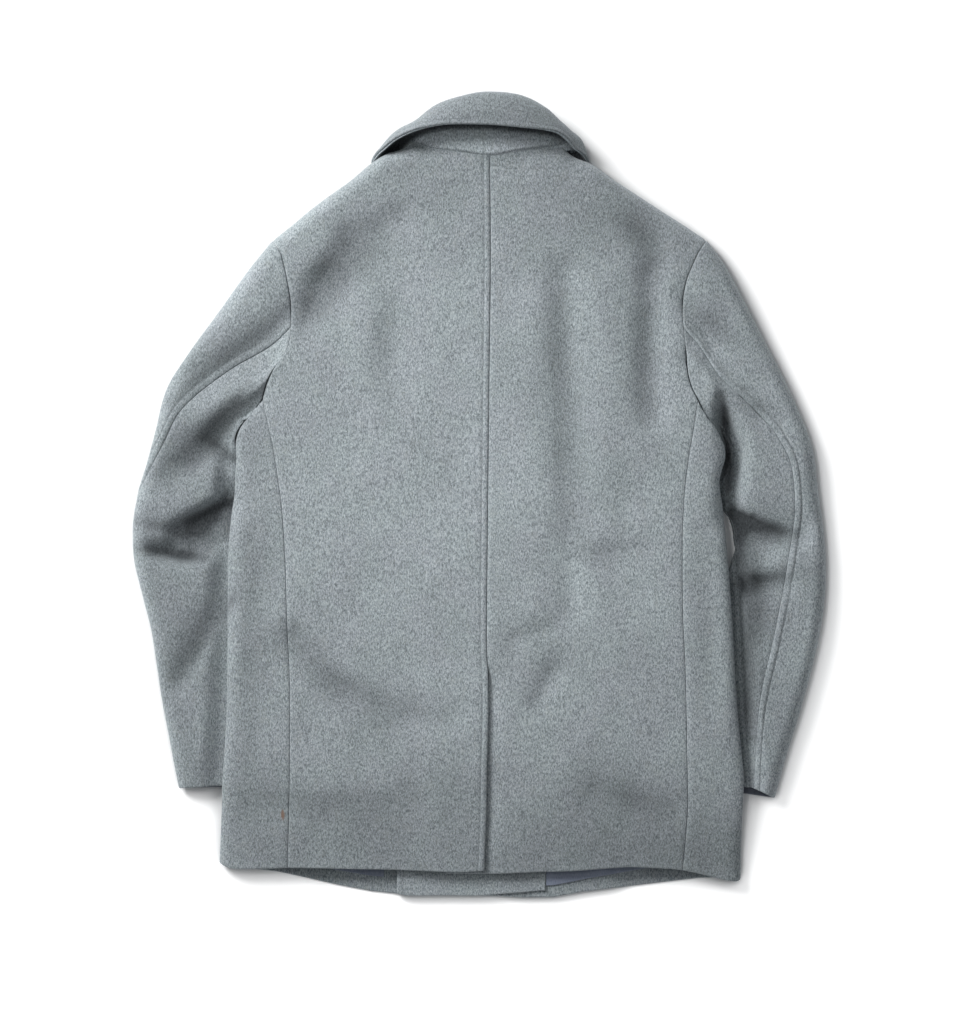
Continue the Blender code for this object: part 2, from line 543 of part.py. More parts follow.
def shell(name, outer, inner, colour):
    """A closed wall between two lattices of the same size."""
    rows, columns = outer.shape[:2]
    verts = np.concatenate([outer.reshape(-1, 3), inner.reshape(-1, 3)]) * MM
    count = rows * columns
    faces = []

    def at(row, column, layer):
        return layer * count + row * columns + column

    for row in range(rows - 1):
        for column in range(columns - 1):
            a, b = (row, column), (row, column + 1)
            c, d = (row + 1, column + 1), (row + 1, column)
            for corners in ((a, b, c), (a, c, d)):
                faces.append([at(r, k, 0) for r, k in corners])
                faces.append([at(r, k, 1) for r, k in reversed(corners)])
    rim = [(row, 0) for row in range(rows - 1, 0, -1)]
    rim += [(0, column) for column in range(columns - 1)]
    rim += [(row, columns - 1) for row in range(rows - 1)]
    rim += [(rows - 1, column) for column in range(columns - 1, 0, -1)]
    for here, there in zip(rim, rim[1:] + rim[:1]):
        # The same diagonal on both sides of a seam, so that twisted rims match.
        split = (at(*here, 0), at(*there, 1)) if here < there else (at(*there, 0), at(*here, 1))
        ring = [at(*there, 0), at(*here, 0), at(*here, 1), at(*there, 1)]
        turn = ring.index(split[0])
        ring = ring[turn:] + ring[:turn]
        faces.append([ring[0], ring[1], ring[2]])
        faces.append([ring[0], ring[2], ring[3]])
    add_solid(name, verts, faces, colour)


def add_solid(name, verts, faces, colour):
    """A mesh object with outward faces, whichever way round the faces were listed."""
    verts = np.asarray(verts, float) - np.array([*MIDDLE, 0.0]) * MM
    volume = 0.0
    for face in faces:
        corner = verts[face]
        for i in range(1, len(face) - 1):
            volume += np.dot(corner[0], np.cross(corner[i], corner[i + 1]))
    if volume < 0:
        faces = [list(reversed(face)) for face in faces]
    mesh = bpy.data.meshes.new(name)
    mesh.from_pydata(verts.tolist(), [], faces)
    mesh.materials.append(material(colour))
    mesh.update()
    bpy.context.scene.collection.objects.link(bpy.data.objects.new(name, mesh))


def material(colour):
    found = bpy.data.materials.get(colour)
    if found:
        return found
    red, green, blue, roughness = COLOURS[colour]
    made = bpy.data.materials.new(colour)
    made.use_nodes = True
    shader = made.node_tree.nodes["Principled BSDF"]
    shader.inputs["Base Color"].default_value = (red, green, blue, 1.0)
    shader.inputs["Roughness"].default_value = roughness
    return made


def facing_out(points, normals, up):
    """Turns the normals so that most of them point up, or down."""
    return normals if np.sign(normals[..., 2].mean()) == up else -normals


def pull_in(points, row_gap, column_gap):
    """Moves the lattice's edge rows and columns in by the given gaps: first and last of each."""
    moved = points.copy()
    for end, gap in zip((0, -1), row_gap):
        near = 1 if end == 0 else -2
        if gap:
            run = unit(points[near] - points[end])
            moved[end] = points[end] + run * gap
    for end, gap in zip((0, -1), column_gap):
        near = 1 if end == 0 else -2
        if gap:
            run = unit(points[:, near] - points[:, end])
            moved[:, end] = moved[:, end] + run * gap
    return moved


def low_row_shares():
    """Rows of a side panel from hem to top, closer near the armhole."""
    return np.linspace(0.0, 1.0, LOW_ROWS)


def back_rows(side):
    armhole = ARMHOLE_BACK[side]
    start = HEM_BACK[side][-1][1]
    junction = (armhole[0][0] - start) / (armhole[-1][0] - start)
    upper = np.linspace(junction, 1.0, ARMHOLE_ROWS + 1)[1:]
    return np.concatenate([low_row_shares() * junction, upper, TURN_ROWS])


def back_columns():
    neck = np.linspace(0.0, BACK_NECK_SHARE, 5)
    shoulder = np.linspace(BACK_NECK_SHARE, 1.0, SHOULDER_COLUMNS + 1)[1:]
    return np.concatenate([neck, shoulder])


def front_rows(side):
    armhole = ARMHOLE_FRONT[side]
    start = SIDE_ENDS[side][-1][1]
    junction = (armhole[0][0] - start) / (armhole[-1][0] - start)
    upper = np.linspace(junction, 1.0, ARMHOLE_ROWS + 1)[1:]
    return np.concatenate([low_row_shares() * junction, upper, TURN_ROWS])


def front_columns():
    shoulder = np.linspace(0.0, FRONT_SHOULDER_SHARE, SHOULDER_COLUMNS + 1)
    return np.concatenate([shoulder, FRONT_PLACES])


def share_normals(first, second):
    """Gives two edges that are sewn together the same normals, so that their walls don't cross."""
    both = unit(first + second)
    first[:] = both
    second[:] = both


def body_lattices(side):
    """Outer lattices and normals of back, side and front."""
    made = {}
    plans = {
        "back": (back_point, back_columns(), back_rows(side), 1),
        "side": (side_point, np.array(SIDE_PLACES), low_row_shares(), 0),
        "front": (front_point, front_columns(), front_rows(side), -1),
    }
    for name, (surface, columns, rows, up) in plans.items():
        u, v = np.meshgrid(columns, rows)
        points = surface(side, u, v)
        normals = grid_normals(points)
        if up:
            normals = facing_out(points, normals, up)
            if name == "back":
                shoulder = columns >= BACK_NECK_SHARE
            else:
                shoulder = columns <= FRONT_SHOULDER_SHARE
            normals[-1, shoulder, 2] = 0.0
            normals = unit(normals)
        else:
            normals = normals if normals[:, 0, 2].mean() > 0 else -normals
        made[name] = (points, normals)
    share_normals(made["back"][1][:LOW_ROWS, -1], made["side"][1][:, 0])
    share_normals(made["side"][1][:, -1], made["front"][1][:LOW_ROWS, 0])
    return made


def armhole_loop(side, lattices):
    """The body's edge round the armhole: points, normals and places, from the shoulder over the
    back, round the side and back over the front."""
    back, back_n = lattices["back"]
    panel, panel_n = lattices["side"]
    front, front_n = lattices["front"]
    junction = LOW_ROWS - 1
    turn = SIDE_PLACES.index(1.5)
    crotch = SIDE_PLACES.index(2.5)
    over = [(back[r, -1], back_n[r, -1]) for r in range(len(back) - 1, junction, -1)]
    round_side = [(panel[-1, c], panel_n[-1, c]) for c in range(len(SIDE_PLACES))]
    under = [(front[r, 0], front_n[r, 0]) for r in range(junction + 1, len(front))]
    loop = over + round_side + under
    corner_body = len(over) + turn
    corner_inner = len(over) + crotch
    count = len(loop)
    first = np.linspace(0.0, 1.0, corner_body + 1)
    second = np.linspace(1.0, 2.0, corner_inner - corner_body + 1)[1:]
    third = np.linspace(2.0, 3.0, count - corner_inner + 1)[1:-1]
    places = np.concatenate([first, second, third])
    points = np.array([p for p, n in loop])
    normals = np.array([n for p, n in loop])
    return points, normals, places


def lay_on(name, front, normals, rows, columns, gaps, wall, colour):
    """A piece on the inner face of a front, from the front's own points; gaps pull in the hem and
    the edge towards the coat's middle."""
    points = pull_in(front[rows, columns], (gaps[0], 0), (0, gaps[1]))
    out = normals[rows, columns]
    near = points - (WALL + LAYER_GAP) * out
    shell(name, near, near - wall * out, colour)


def build_body(side, word, lattices):
    back, back_n = lattices["back"]
    panel, panel_n = lattices["side"]
    front, front_n = lattices["front"]
    half = SEAM_GAP / 2
    outer = pull_in(back, (0, 0), (half, half))
    shell("back_" + word, outer, outer - WALL * back_n, "wool")
    outer = pull_in(panel, (0, 0), (half, half))
    shell("side_" + word, outer, outer - WALL * panel_n, "wool")
    outer = pull_in(front, (0, 0), (half, 0))
    shell("front_" + word, outer, outer - WALL * front_n, "wool")
    lining_rows = slice(0, LOW_ROWS - 3)
    if side == RIGHT:
        facing_rows = slice(0, LOW_ROWS + ARMHOLE_ROWS - 1)
        facing_columns = slice(FACING_COLUMN, None)
        lay_on("facing_right", front, front_n, facing_rows, facing_columns, (0, 0), FACING_WALL, "wool")
    columns = slice(1, LINING_END[side] + 1)
    lay_on("lining_" + word, front, front_n, lining_rows, columns, (HEM_TURN, 0.6), LINING_WALL, "satin")


def sleeve_places(side, t, start, places, elbow_at, low_at):
    """The places of one sleeve piece's columns at t: its seams wander round the ring, and the
    corners of the ring stay on columns."""
    settle = 1.0 - smooth_step(np.asarray(t) / 0.1)
    elbow = along(ELBOW_SEAM[side], 1, t) + (elbow_at - ELBOW_SEAM[side][0][1]) * settle
    low = along(UNDER_SEAM, 1, t) - UNDER_SEAM[0][1] + low_at
    if start == elbow_at:
        first = 1.0 - (1.0 - places) * (1.0 - elbow) / (1.0 - elbow_at)
        last = 2.0 + (places - 2.0) * (low - 2.0) / (low_at - 2.0)
        return np.where(places < 1.0, first, np.where(places > 2.0, last, places))
    share = (places - low_at) / (elbow_at + 3.0 - low_at)
    return low + (elbow + 3.0 - low) * share


def build_sleeve(side, word, lattices):
    edge, edge_n, places = armhole_loop(side, lattices)
    stations = np.concatenate([[0.0, 0.025, 0.06], np.linspace(0.11, 1.0, 15)])
    top_index = int(np.argmin(np.abs(places - ELBOW_SEAM[side][0][1])))
    low_index = int(np.argmin(np.abs(places - UNDER_SEAM[0][1])))
    flat_ring = sleeve_ring(side, np.zeros(len(places)), places)
    along_edge = np.roll(edge, -1, axis=0) - np.roll(edge, 1, axis=0)
    away = unit(np.cross(edge_n, along_edge))
    next_ring = sleeve_ring(side, np.full(len(places), 0.06), places)
    if (away * (next_ring - flat_ring)).sum() < 0:
        away = -away
    # The seam opens a little towards the underarm, where it turns hard.
    gap = SEAM_GAP + 0.4 * smooth_step((places - 0.6) / 0.3)[:, None]
    shift = edge + gap * away - flat_ring
    # Under the body the sleeve leaves the armhole below the body's own edge.
    hidden = smooth_step((places - 0.98) / 0.14) * smooth_step((2.45 - places) / 0.3)
    shift[:, 2] -= 3.4 * hidden
    under_part = list(range(top_index, low_index + 1))
    upper_part = list(range(low_index, len(places))) + list(range(0, top_index + 1))
    made = {}
    for name, part in (("undersleeve_", under_part), ("topsleeve_", upper_part)):
        here = places[part] + np.where(np.array(part) < part[0], 3.0, 0.0)
        points = np.empty((len(stations), len(part), 3))
        centres = np.empty((len(stations), 1, 3))
        for row, t in enumerate(stations):
            place = sleeve_places(side, t, here[0], here, places[top_index], places[low_index])
            fade = 1.0 - smooth_step(t / 0.3)
            points[row] = sleeve_ring(side, np.full(len(part), t), place) + shift[part] * fade
            ring = sleeve_ring(side, np.full(30, t), np.linspace(0.0, 3.0, 30))
            centres[row] = ring.mean(axis=0)
        normals = grid_normals(points)
        if (normals[4:] * (points - centres)[4:]).sum() < 0:
            normals = -normals
        made[name] = (points, normals, part)
    share_normals(made["undersleeve_"][1][:, 0], made["topsleeve_"][1][:, -1])
    share_normals(made["undersleeve_"][1][:, -1], made["topsleeve_"][1][:, 0])
    for name, (points, normals, part) in made.items():
        share = 1.0 - hidden[part][:, None]
        normals[0] = unit(edge_n[part] * share + normals[0] * (1.0 - share))
        half = SEAM_GAP / 2
        outer = pull_in(points, (0, 0), (half, half))
        shell(name + word, outer, outer - WALL * normals, "wool")


def collar_sheet(u, v):
    """The middle of the collar: u from its left end to its right, v from neck seam to free edge."""
    rows = np.asarray(COLLAR, float)
    table = np.column_stack([np.linspace(0.0, 1.0, len(rows)), rows])
    neck = np.stack([along(table, k, u) for k in (1, 2, 3)], axis=-1)
    turn = np.stack([along(table, k, u) for k in (4, 5, 6)], axis=-1)
    free = np.stack([along(table, k, u) for k in (7, 8, 9)], axis=-1)
    spread = along(table, 10, u)[..., None]
    middle = (neck + free) / 2
    pull = unit(turn - middle + 1e-6)
    across = free - neck
    across = unit(across - (across * pull).sum(-1, keepdims=True) * pull)
    centre = (8 * turn - neck - free) / 6
    first = centre - across * spread
    second = centre + across * spread
    flat = spread < 0.5
    first = np.where(flat, neck + (free - neck) / 3, first)
    second = np.where(flat, neck + (free - neck) * 2 / 3, second)
    v = v[..., None]
    return (1 - v) ** 3 * neck + 3 * v * (1 - v) ** 2 * first + 3 * v * v * (1 - v) * second + v**3 * free


def build_collar():
    u, v = np.meshgrid(np.linspace(0.0, 1.0, 45), np.linspace(0.0, 1.0, 9))
    middle = collar_sheet(u, v)
    normals = facing_out(middle, grid_normals(middle), 1)
    centre_column = 22
    if normals[-1, centre_column, 2] < 0:
        normals = -normals
    half = SEAM_GAP / 2
    shell("collar_top", middle + (half + COLLAR_WALL) * normals, middle + half * normals, "wool")
    shell("collar_under", middle - half * normals, middle - (half + COLLAR_WALL) * normals, "wool")


def build_buttons():
    profile = [(0.0, 1.2), (9.5, 1.2), (10.5, 0.3), (12.5, 0.3), (14.0, 1.6), (13.0, 3.6), (0.0, 4.2)]
    count = 20
    angles = np.arange(count) * 2 * np.pi / count
    for number, (x, y) in enumerate(BUTTONS, 1):
        verts = [(x, y, profile[0][1])]
        for radius, z in profile[1:-1]:
            verts += [(x + radius * np.cos(a), y + radius * np.sin(a), z) for a in angles]
        verts.append((x, y, profile[-1][1]))
        rings = len(profile) - 2
        faces = [[0, 1 + (i + 1) % count, 1 + i] for i in range(count)]
        for ring in range(rings - 1):
            low = 1 + ring * count
            for i in range(count):
                j = (i + 1) % count
                faces.append([low + i, low + j, low + count + j, low + count + i])
        last = 1 + (rings - 1) * count
        faces += [[last + i, last + (i + 1) % count, len(verts) - 1] for i in range(count)]
        add_solid(f"button_{number}", np.array(verts) * MM, faces, "horn")


def main():
    for thing in list(bpy.data.objects):
        bpy.data.objects.remove(thing, do_unlink=True)
    for side, word in ((LEFT, "left"), (RIGHT, "right")):
        lattices = body_lattices(side)
        build_body(side, word, lattices)
        build_sleeve(side, word, lattices)
    build_collar()
    build_buttons()


main()
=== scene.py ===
"""Looks of a pea coat that lies face down: melton panels with rolled seams, topstitching, creases,
satin lining, a pale floor, soft light from the upper left and the camera straight above.

Sizes are in millimetres until a mesh is made; the stage is in metres. "Outward" means away from
the centre line, with sign -1 for the wearer's left (at -X) and +1 for the right.
"""

import bpy
import numpy as np
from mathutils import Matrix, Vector


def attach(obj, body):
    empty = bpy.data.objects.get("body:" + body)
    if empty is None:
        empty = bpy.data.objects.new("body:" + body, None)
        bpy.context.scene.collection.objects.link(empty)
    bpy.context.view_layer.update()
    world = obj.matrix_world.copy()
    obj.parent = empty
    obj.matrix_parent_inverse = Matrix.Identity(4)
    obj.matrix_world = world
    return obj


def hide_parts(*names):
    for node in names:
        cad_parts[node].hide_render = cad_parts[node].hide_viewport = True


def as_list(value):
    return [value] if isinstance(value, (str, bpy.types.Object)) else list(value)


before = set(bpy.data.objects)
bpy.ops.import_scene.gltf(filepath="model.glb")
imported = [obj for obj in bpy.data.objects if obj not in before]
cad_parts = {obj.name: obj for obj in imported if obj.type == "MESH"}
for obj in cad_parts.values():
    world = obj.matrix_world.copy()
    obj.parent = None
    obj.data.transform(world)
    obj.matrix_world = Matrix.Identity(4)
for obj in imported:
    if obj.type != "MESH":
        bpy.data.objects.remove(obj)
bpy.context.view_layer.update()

MM = 0.001
WALL = 2.6  # wool melton
COLLAR_WALL = 2.4
FACING_WALL = 1.8
LINING_WALL = 1
SEAM_GAP = 0.3  # between sewn pieces
LAYER_GAP = 0.7  # between cloth lying on cloth
FRONT_GAP = 1.4  # between the two fronts
ROLL = 16  # how far in from an edge the cloth starts to turn round it
SIDE_TURN = 30  # from the side edge in to the side seam below
SLEEVE_TOP_UNDER = 9.6  # a sleeve's height where the body lies on it
BODY_OVER_SLEEVE = 11.6  # the body's underside there
COLLAR_RAISE = 7.2  # the fronts' underside over the collar ends
BUTTON_RAISE = 5  # and over the buttons
BUTTON_FIELD = (4, 76, 108, 165)  # middle x, y and half sizes of the raised field
LEFT, RIGHT = -1, 1
MIDDLE = (-3.75, -1.15)  # x, y of the middle of the drawn sizes, which becomes the origin

# Lattices of the panels
LOW_ROWS = 17  # from the hem to the underarm
ARMHOLE_ROWS = 8  # from there to the roll of the shoulder
TURN_ROWS = [1.27, 1.52, 1.76, 1.965]  # round that roll
SIDE_PLACES = [0, 0.5, 1, 1.25, 1.5, 1.75, 2, 2.5, 3]  # round the side panel
SHOULDER_COLUMNS = 6  # of a front
FRONT_PLACES = [0.53, 0.6, 0.68, 0.76, 0.84, 0.92, 1]  # across a front, past the shoulder
BACK_NECK_SHARE = 0.34  # share of the back's top edge that is neckline
FRONT_SHOULDER_SHARE = 0.5  # share of a front's top edge that is shoulder
FACING_COLUMN = 7  # the front column where the facing starts
LINING_END = {LEFT: 5, RIGHT: 7}  # and where each lining ends
HEM_TURN = 14  # height of the fronts' turned hem

# Centre back seam: y, x
CENTRE = [(-430, 1.5), (-399, 1.6), (-345, 3.7), (-281, 4.8), (-228, 6.1), (-196, 5.8), (-154, 3.9),
          (-59, 4.7), (100, 6.4), (258, 8.1), (362, 7.4)]
VENT_TOP = -200  # y
VENT_LAP = 42  # how far the right half reaches below the left one
VENT_STEP = 2.2  # how far the left half rises over it, and the right one sinks

# Side edge of the body: y, outward distance
SIDE_EDGE = {
    LEFT: [(-430, 280), (-397, 277.5), (-389, 279.5), (-371, 278.8), (-334, 277.1), (-308, 276.4),
           (-271, 274), (-228, 271.8), (-175, 270.9), (-112, 270.7), (-59, 269.7), (-22, 266.6),
           (0, 263.4), (21, 262.4), (39, 261.3), (53, 262), (110, 262)],
    RIGHT: [(-430, 273), (-398, 273.5), (-377, 273.8), (-329, 275.6), (-305, 276.7), (-271, 274),
            (-239, 270.8), (-197, 267.7), (-144, 265), (-96, 261.8), (-54, 258.3), (-12, 253.9),
            (13, 250.7), (26, 253.3), (41, 257), (50, 256.5), (62, 254), (110, 254)],
}
# Seam between back and side panel: y, outward distance
BACK_SEAM = {
    LEFT: [(-430, 207), (-396, 207.1), (-376, 206.7), (-334, 205.6), (-260, 204.8), (-188, 205.1),
           (-131, 207.8), (-65, 209.9), (-11, 213.6), (17.5, 217.5), (49, 222.6), (76, 228.6),
           (100.2, 233.7), (120, 238)],
    RIGHT: [(-430, 211), (-398, 211.9), (-367, 214.7), (-324, 217), (-260, 216), (-188, 214.5),
            (-122, 211.6), (-57, 211.3), (0, 213.6), (37, 217.8), (66, 222.6), (99.1, 227.9),
            (120, 232)],
}
# Armhole on the back, from the side panel's top corner to the roll of the shoulder: y, outward
ARMHOLE_BACK = {
    LEFT: [(100.2, 233.7), (110, 231.2), (118.2, 228.6), (138.3, 218.5), (146.8, 212),
           (157.4, 206.6), (178.6, 203.5), (204.1, 203.7), (222.1, 206.3), (243.3, 210.8),
           (255.5, 214)],
    RIGHT: [(99.1, 227.9), (108, 223.5), (118.2, 219.4), (135.2, 216), (160.6, 214.4),
            (179.7, 212.4), (204.1, 211.6), (216.8, 213.1), (229.5, 216.2), (243.3, 222),
            (255.5, 227.5)],
}
# Armhole below, on the front, from the under side seam to the roll of the shoulder: y, outward
ARMHOLE_FRONT = {
    LEFT: [(46, 231.5), (64, 221), (90, 212), (130, 204), (175, 200), (215, 202), (240, 207),
           (255.5, 213)],
    RIGHT: [(42, 226), (62, 216), (90, 208), (130, 203), (175, 203), (215, 210), (240, 219),
            (255.5, 226.5)],
}
SHOULDER_TIP = {LEFT: (222.6, 269.8), RIGHT: (236.9, 269.8)}  # outward, y
# Shoulder seam from the neck to the tip: outward, y, height
SHOULDER = {
    LEFT: [(72, 374.7, 22), (79.5, 369.8, 21), (86, 366.2, 20), (103, 361, 18), (117.7, 351.9, 16),
           (139.9, 333.4, 15), (162.2, 317.5, 14.5), (183.4, 301.6, 14), (202.5, 285.7, 14),
           (222.6, 269.8, 14)],
    RIGHT: [(84, 370, 22), (88, 365, 21), (93, 360.5, 20), (100, 356.5, 18), (114.5, 350.9, 16),
            (139.4, 333.4, 15), (163.8, 317.5, 14.5), (188.2, 301.6, 14), (213.1, 285.7, 14),
            (236.9, 269.8, 14)],
}
# Back neckline from the centre to the shoulder: outward, y, height
NECK_BACK = {
    LEFT: [(-7.4, 361.5, 33), (6, 362, 33), (13.8, 363.1, 32.6), (38.2, 366.8, 30),
           (62.5, 370.5, 25.5), (72, 374.7, 22)],
    RIGHT: [(7.4, 361.5, 33), (16, 362.5, 33), (29.7, 364.6, 32), (49.8, 367.8, 29.5),
            (65.7, 369.9, 26.5), (84, 370, 22)],
}
# Hem of the back: outward, y
HEM_BACK = {
    LEFT: [(-1.6, -399.1), (26.5, -400.6), (56, -399.6), (97.5, -398), (138, -397.3), (178, -396.4),
           (207.1, -395.9)],
    RIGHT: [(1.6, -402.3), (40.3, -402.3), (83.7, -400.4), (116.6, -399.3), (144.2, -396.8),
            (166.4, -395.2), (183.4, -396.1), (200.3, -397.2), (211.9, -398.6)],
}
# Hem and top edge of the side panel by place round it: place (0 back seam, 1 and 2 the turns,
# 3 side seam below), y of the hem, y of the top
SIDE_ENDS = {
    LEFT: [(0, -395.9, 100.2), (0.5, -397, 93.5), (1, -397.5, 84), (1.25, -395, 71),
           (1.5, -391, 56), (1.75, -393, 45), (2, -396, 40), (2.5, -397.5, 41), (3, -397.5, 46)],
    RIGHT: [(0, -398.6, 99.1), (0.5, -403.5, 90), (1, -409, 80), (1.25, -410.5, 67),
            (1.5, -408, 52), (1.75, -406, 42), (2, -405.5, 37), (2.5, -406, 38), (3, -406.5, 42)],
}
# Hem of the fronts: x, y
HEM_FRONT = [(-290, -397), (-241.7, -397.5), (-218.9, -399.9), (-198.5, -404.1), (-178.3, -408.6),
             (-157.9, -413.2), (-137.8, -417.1), (-117.7, -420.8), (-91.2, -423.5), (-81, -425.7),
             (-37.1, -425.3), (18, -425.9), (40.3, -427.5), (75.3, -427), (104.9, -421.6),
             (148.4, -416.1), (191.9, -410.8), (230, -406.5), (290, -405)]
FREE_EDGE = {LEFT: 99.6, RIGHT: -91.2}  # x of each front's free edge
# Top edge of a front, from the shoulder at the neck to its free edge: share of the way, y, height
# above the front's own level
NECK_FRONT = [(0, 374, 1), (0.12, 352, 0.75), (0.26, 325, 0.35), (0.42, 306, 0), (0.6, 301, 0),
              (0.8, 297, 0), (1, 290, 0)]

# Height of the back along the coat: y, height
BACK_HEIGHT = [(-430, 17), (-400, 17.5), (-370, 20.5), (-320, 25), (-250, 28), (-150, 30), (0, 31),
               (150, 31), (250, 30.5), (300, 31), (345, 32.5), (362, 33.5), (400, 33.5)]
# Soft troughs (positive depth) and ridges (negative) of the upper cloth, each a line between two
# points: x0, y0, x1, y1, half width, depth
FOLDS = [(-88, 296, -141, 275, 16, 3.2), (-141, 275, -180, 225, 15, 3.4),
         (-180, 225, -192, 180, 14, 2.6), (-130, 255, -125, 170, 30, -2),
         (-100, 172, -95, 135, 16, 2), (168, 275, 186, 250, 16, 3), (178, 228, 176, 80, 17, 3.4),
         (88, 235, 92, -110, 17, 2.8), (55, 200, 50, 40, 20, -1.4), (128, 215, 130, -40, 18, -1.5),
         (-194, -155, -146, -207, 18, 2.4), (-146, -207, -35, -238, 20, 2.2),
         (34, -154, 92, -128, 13, 2.2), (60, -218, 82, -176, 15, 2.4),
         (124, -60, 166, -110, 16, 2.2), (124, -312, 188, -340, 22, 2.6),
         (-245, -120, -243, -300, 14, 1.4), (241, -40, 243, -230, 13, 1.8),
         (-199, 190, -305, 142, 20, 3.2), (-247, 111, -348, 20, 19, 4.2),
         (-255, 105, -273, 52, 12, -2.4), (-276, 47, -279, 40, 11, 2.4),
         (-266, -6, -326, -59, 18, 5.2), (-326, -40, -366, -32, 11, 2),
         (-284, -122, -330, -197, 18, 3.4), (245, 186, 212, 212, 17, 3),
         (222, 140, 232, 124, 13, 2.4), (258, 100, 268, -60, 15, 3.6),
         (262, -20, 338, -36, 15, 5.4), (278, -95, 320, -98, 13, 3), (315, -68, 330, -72, 15, -2.2),
         (290, -180, 300, -280, 16, -1.6)]
# Where the sleeves lie below the body: y, outward distance of the sleeve's inner fold
SLEEVE_REACH = {
    LEFT: [(-430, 200), (-330, 190), (-300, 174), (-110, 174), (-20, 190), (60, 200), (200, 200),
           (380, 170)],
    RIGHT: [(-430, 200), (-330, 176), (-300, 172), (-240, 176), (-180, 196), (-100, 228), (0, 236),
            (60, 212), (200, 204), (380, 170)],
}
RAISE_ALONG = [(-430, 0), (-392, 0), (-325, 1), (60, 1), (110, 0.8), (180, 0.2), (230, 0), (400, 0)]

# Sleeves, from armhole to cuff: outer edge x, y; point at the body's edge x, y; hidden inner fold
# x, y; height
SLEEVE = {
    LEFT: [(222.6, 269.8, 262.5, 53, 240, 39, 27), (252.2, 232.6, 269, 47, 234, 26, 27),
           (281.6, 191.6, 269, 37, 227, 12, 26), (311, 151.4, 267.5, 25, 220, -2, 25),
           (335.6, 111.6, 266.5, 10, 214, -18, 24.5), (347.8, 65.4, 266.5, -4, 208, -38, 24),
           (358.4, 26.4, 268.5, -22, 202, -58, 23.5), (367.4, -5.6, 271, -44, 197, -80, 23),
           (371.5, -37.6, 272.5, -68, 192, -104, 22.5), (370, -70, 273.5, -94, 188, -128, 22),
           (361, -108, 273.5, -122, 185, -154, 21.5), (352, -143.6, 274, -152, 183, -182, 21),
           (346, -182, 275, -187, 182, -210, 20), (340.3, -220, 276.5, -222, 181, -237, 19.5),
           (333, -258, 278, -258, 181, -262, 19), (327, -290, 279.5, -289, 181, -284, 18),
           (322.5, -312, 281, -309, 181, -302, 17)],
    RIGHT: [(236.9, 269.8, 256.5, 50, 236, 36, 27), (255, 244, 266, 46, 240, 26, 27),
            (277, 203, 266, 38, 243, 16, 26), (300, 159, 262, 25, 244, 6, 25),
            (320, 121, 259, 12, 246, -4, 24.5), (336, 86, 258.5, 0, 250, -12, 24),
            (350, 47, 262, -12, 257, -20, 24), (356, 0, 267, -24, 264, -30, 23),
            (360.5, -32, 270, -42, 267, -46, 22.5), (363.6, -70, 270, -62, 266, -66, 22),
            (363, -105, 266, -88, 254, -92, 22), (359, -138, 268, -116, 236, -118, 22),
            (352, -172, 271, -150, 221, -146, 21.5), (343, -207, 273.5, -186, 207, -176, 21),
            (333, -242, 276, -222, 195, -206, 20), (322, -277, 279, -262, 186, -238, 19),
            (309.5, -322, 280.5, -309, 181, -270, 18)],
}
# Elbow seam of each sleeve: way down the sleeve (0 to 1), place round the ring (0 outer edge,
# 1 body's edge, below 0 on the underside)
ELBOW_SEAM = {
    LEFT: [(0, 0.51), (0.05, 0.505), (0.09, 0.475), (0.125, 0.445), (0.19, 0.425), (0.25, 0.405),
           (0.31, 0.33), (0.375, 0.18), (0.44, -0.02), (0.52, -0.15), (0.7, -0.25), (1, -0.3)],
    RIGHT: [(0, 0.51), (0.06, 0.534), (0.125, 0.58), (0.19, 0.564), (0.25, 0.55), (0.31, 0.507),
            (0.375, 0.476), (0.44, 0.494), (0.5, 0.549), (0.56, 0.609), (0.625, 0.634),
            (0.69, 0.672), (0.75, 0.712), (0.81, 0.765), (0.875, 0.82), (0.94, 0.85), (1, 0.86)],
}
UNDER_SEAM = [(0, 2.3), (0.5, 2.45), (1, 2.45)]

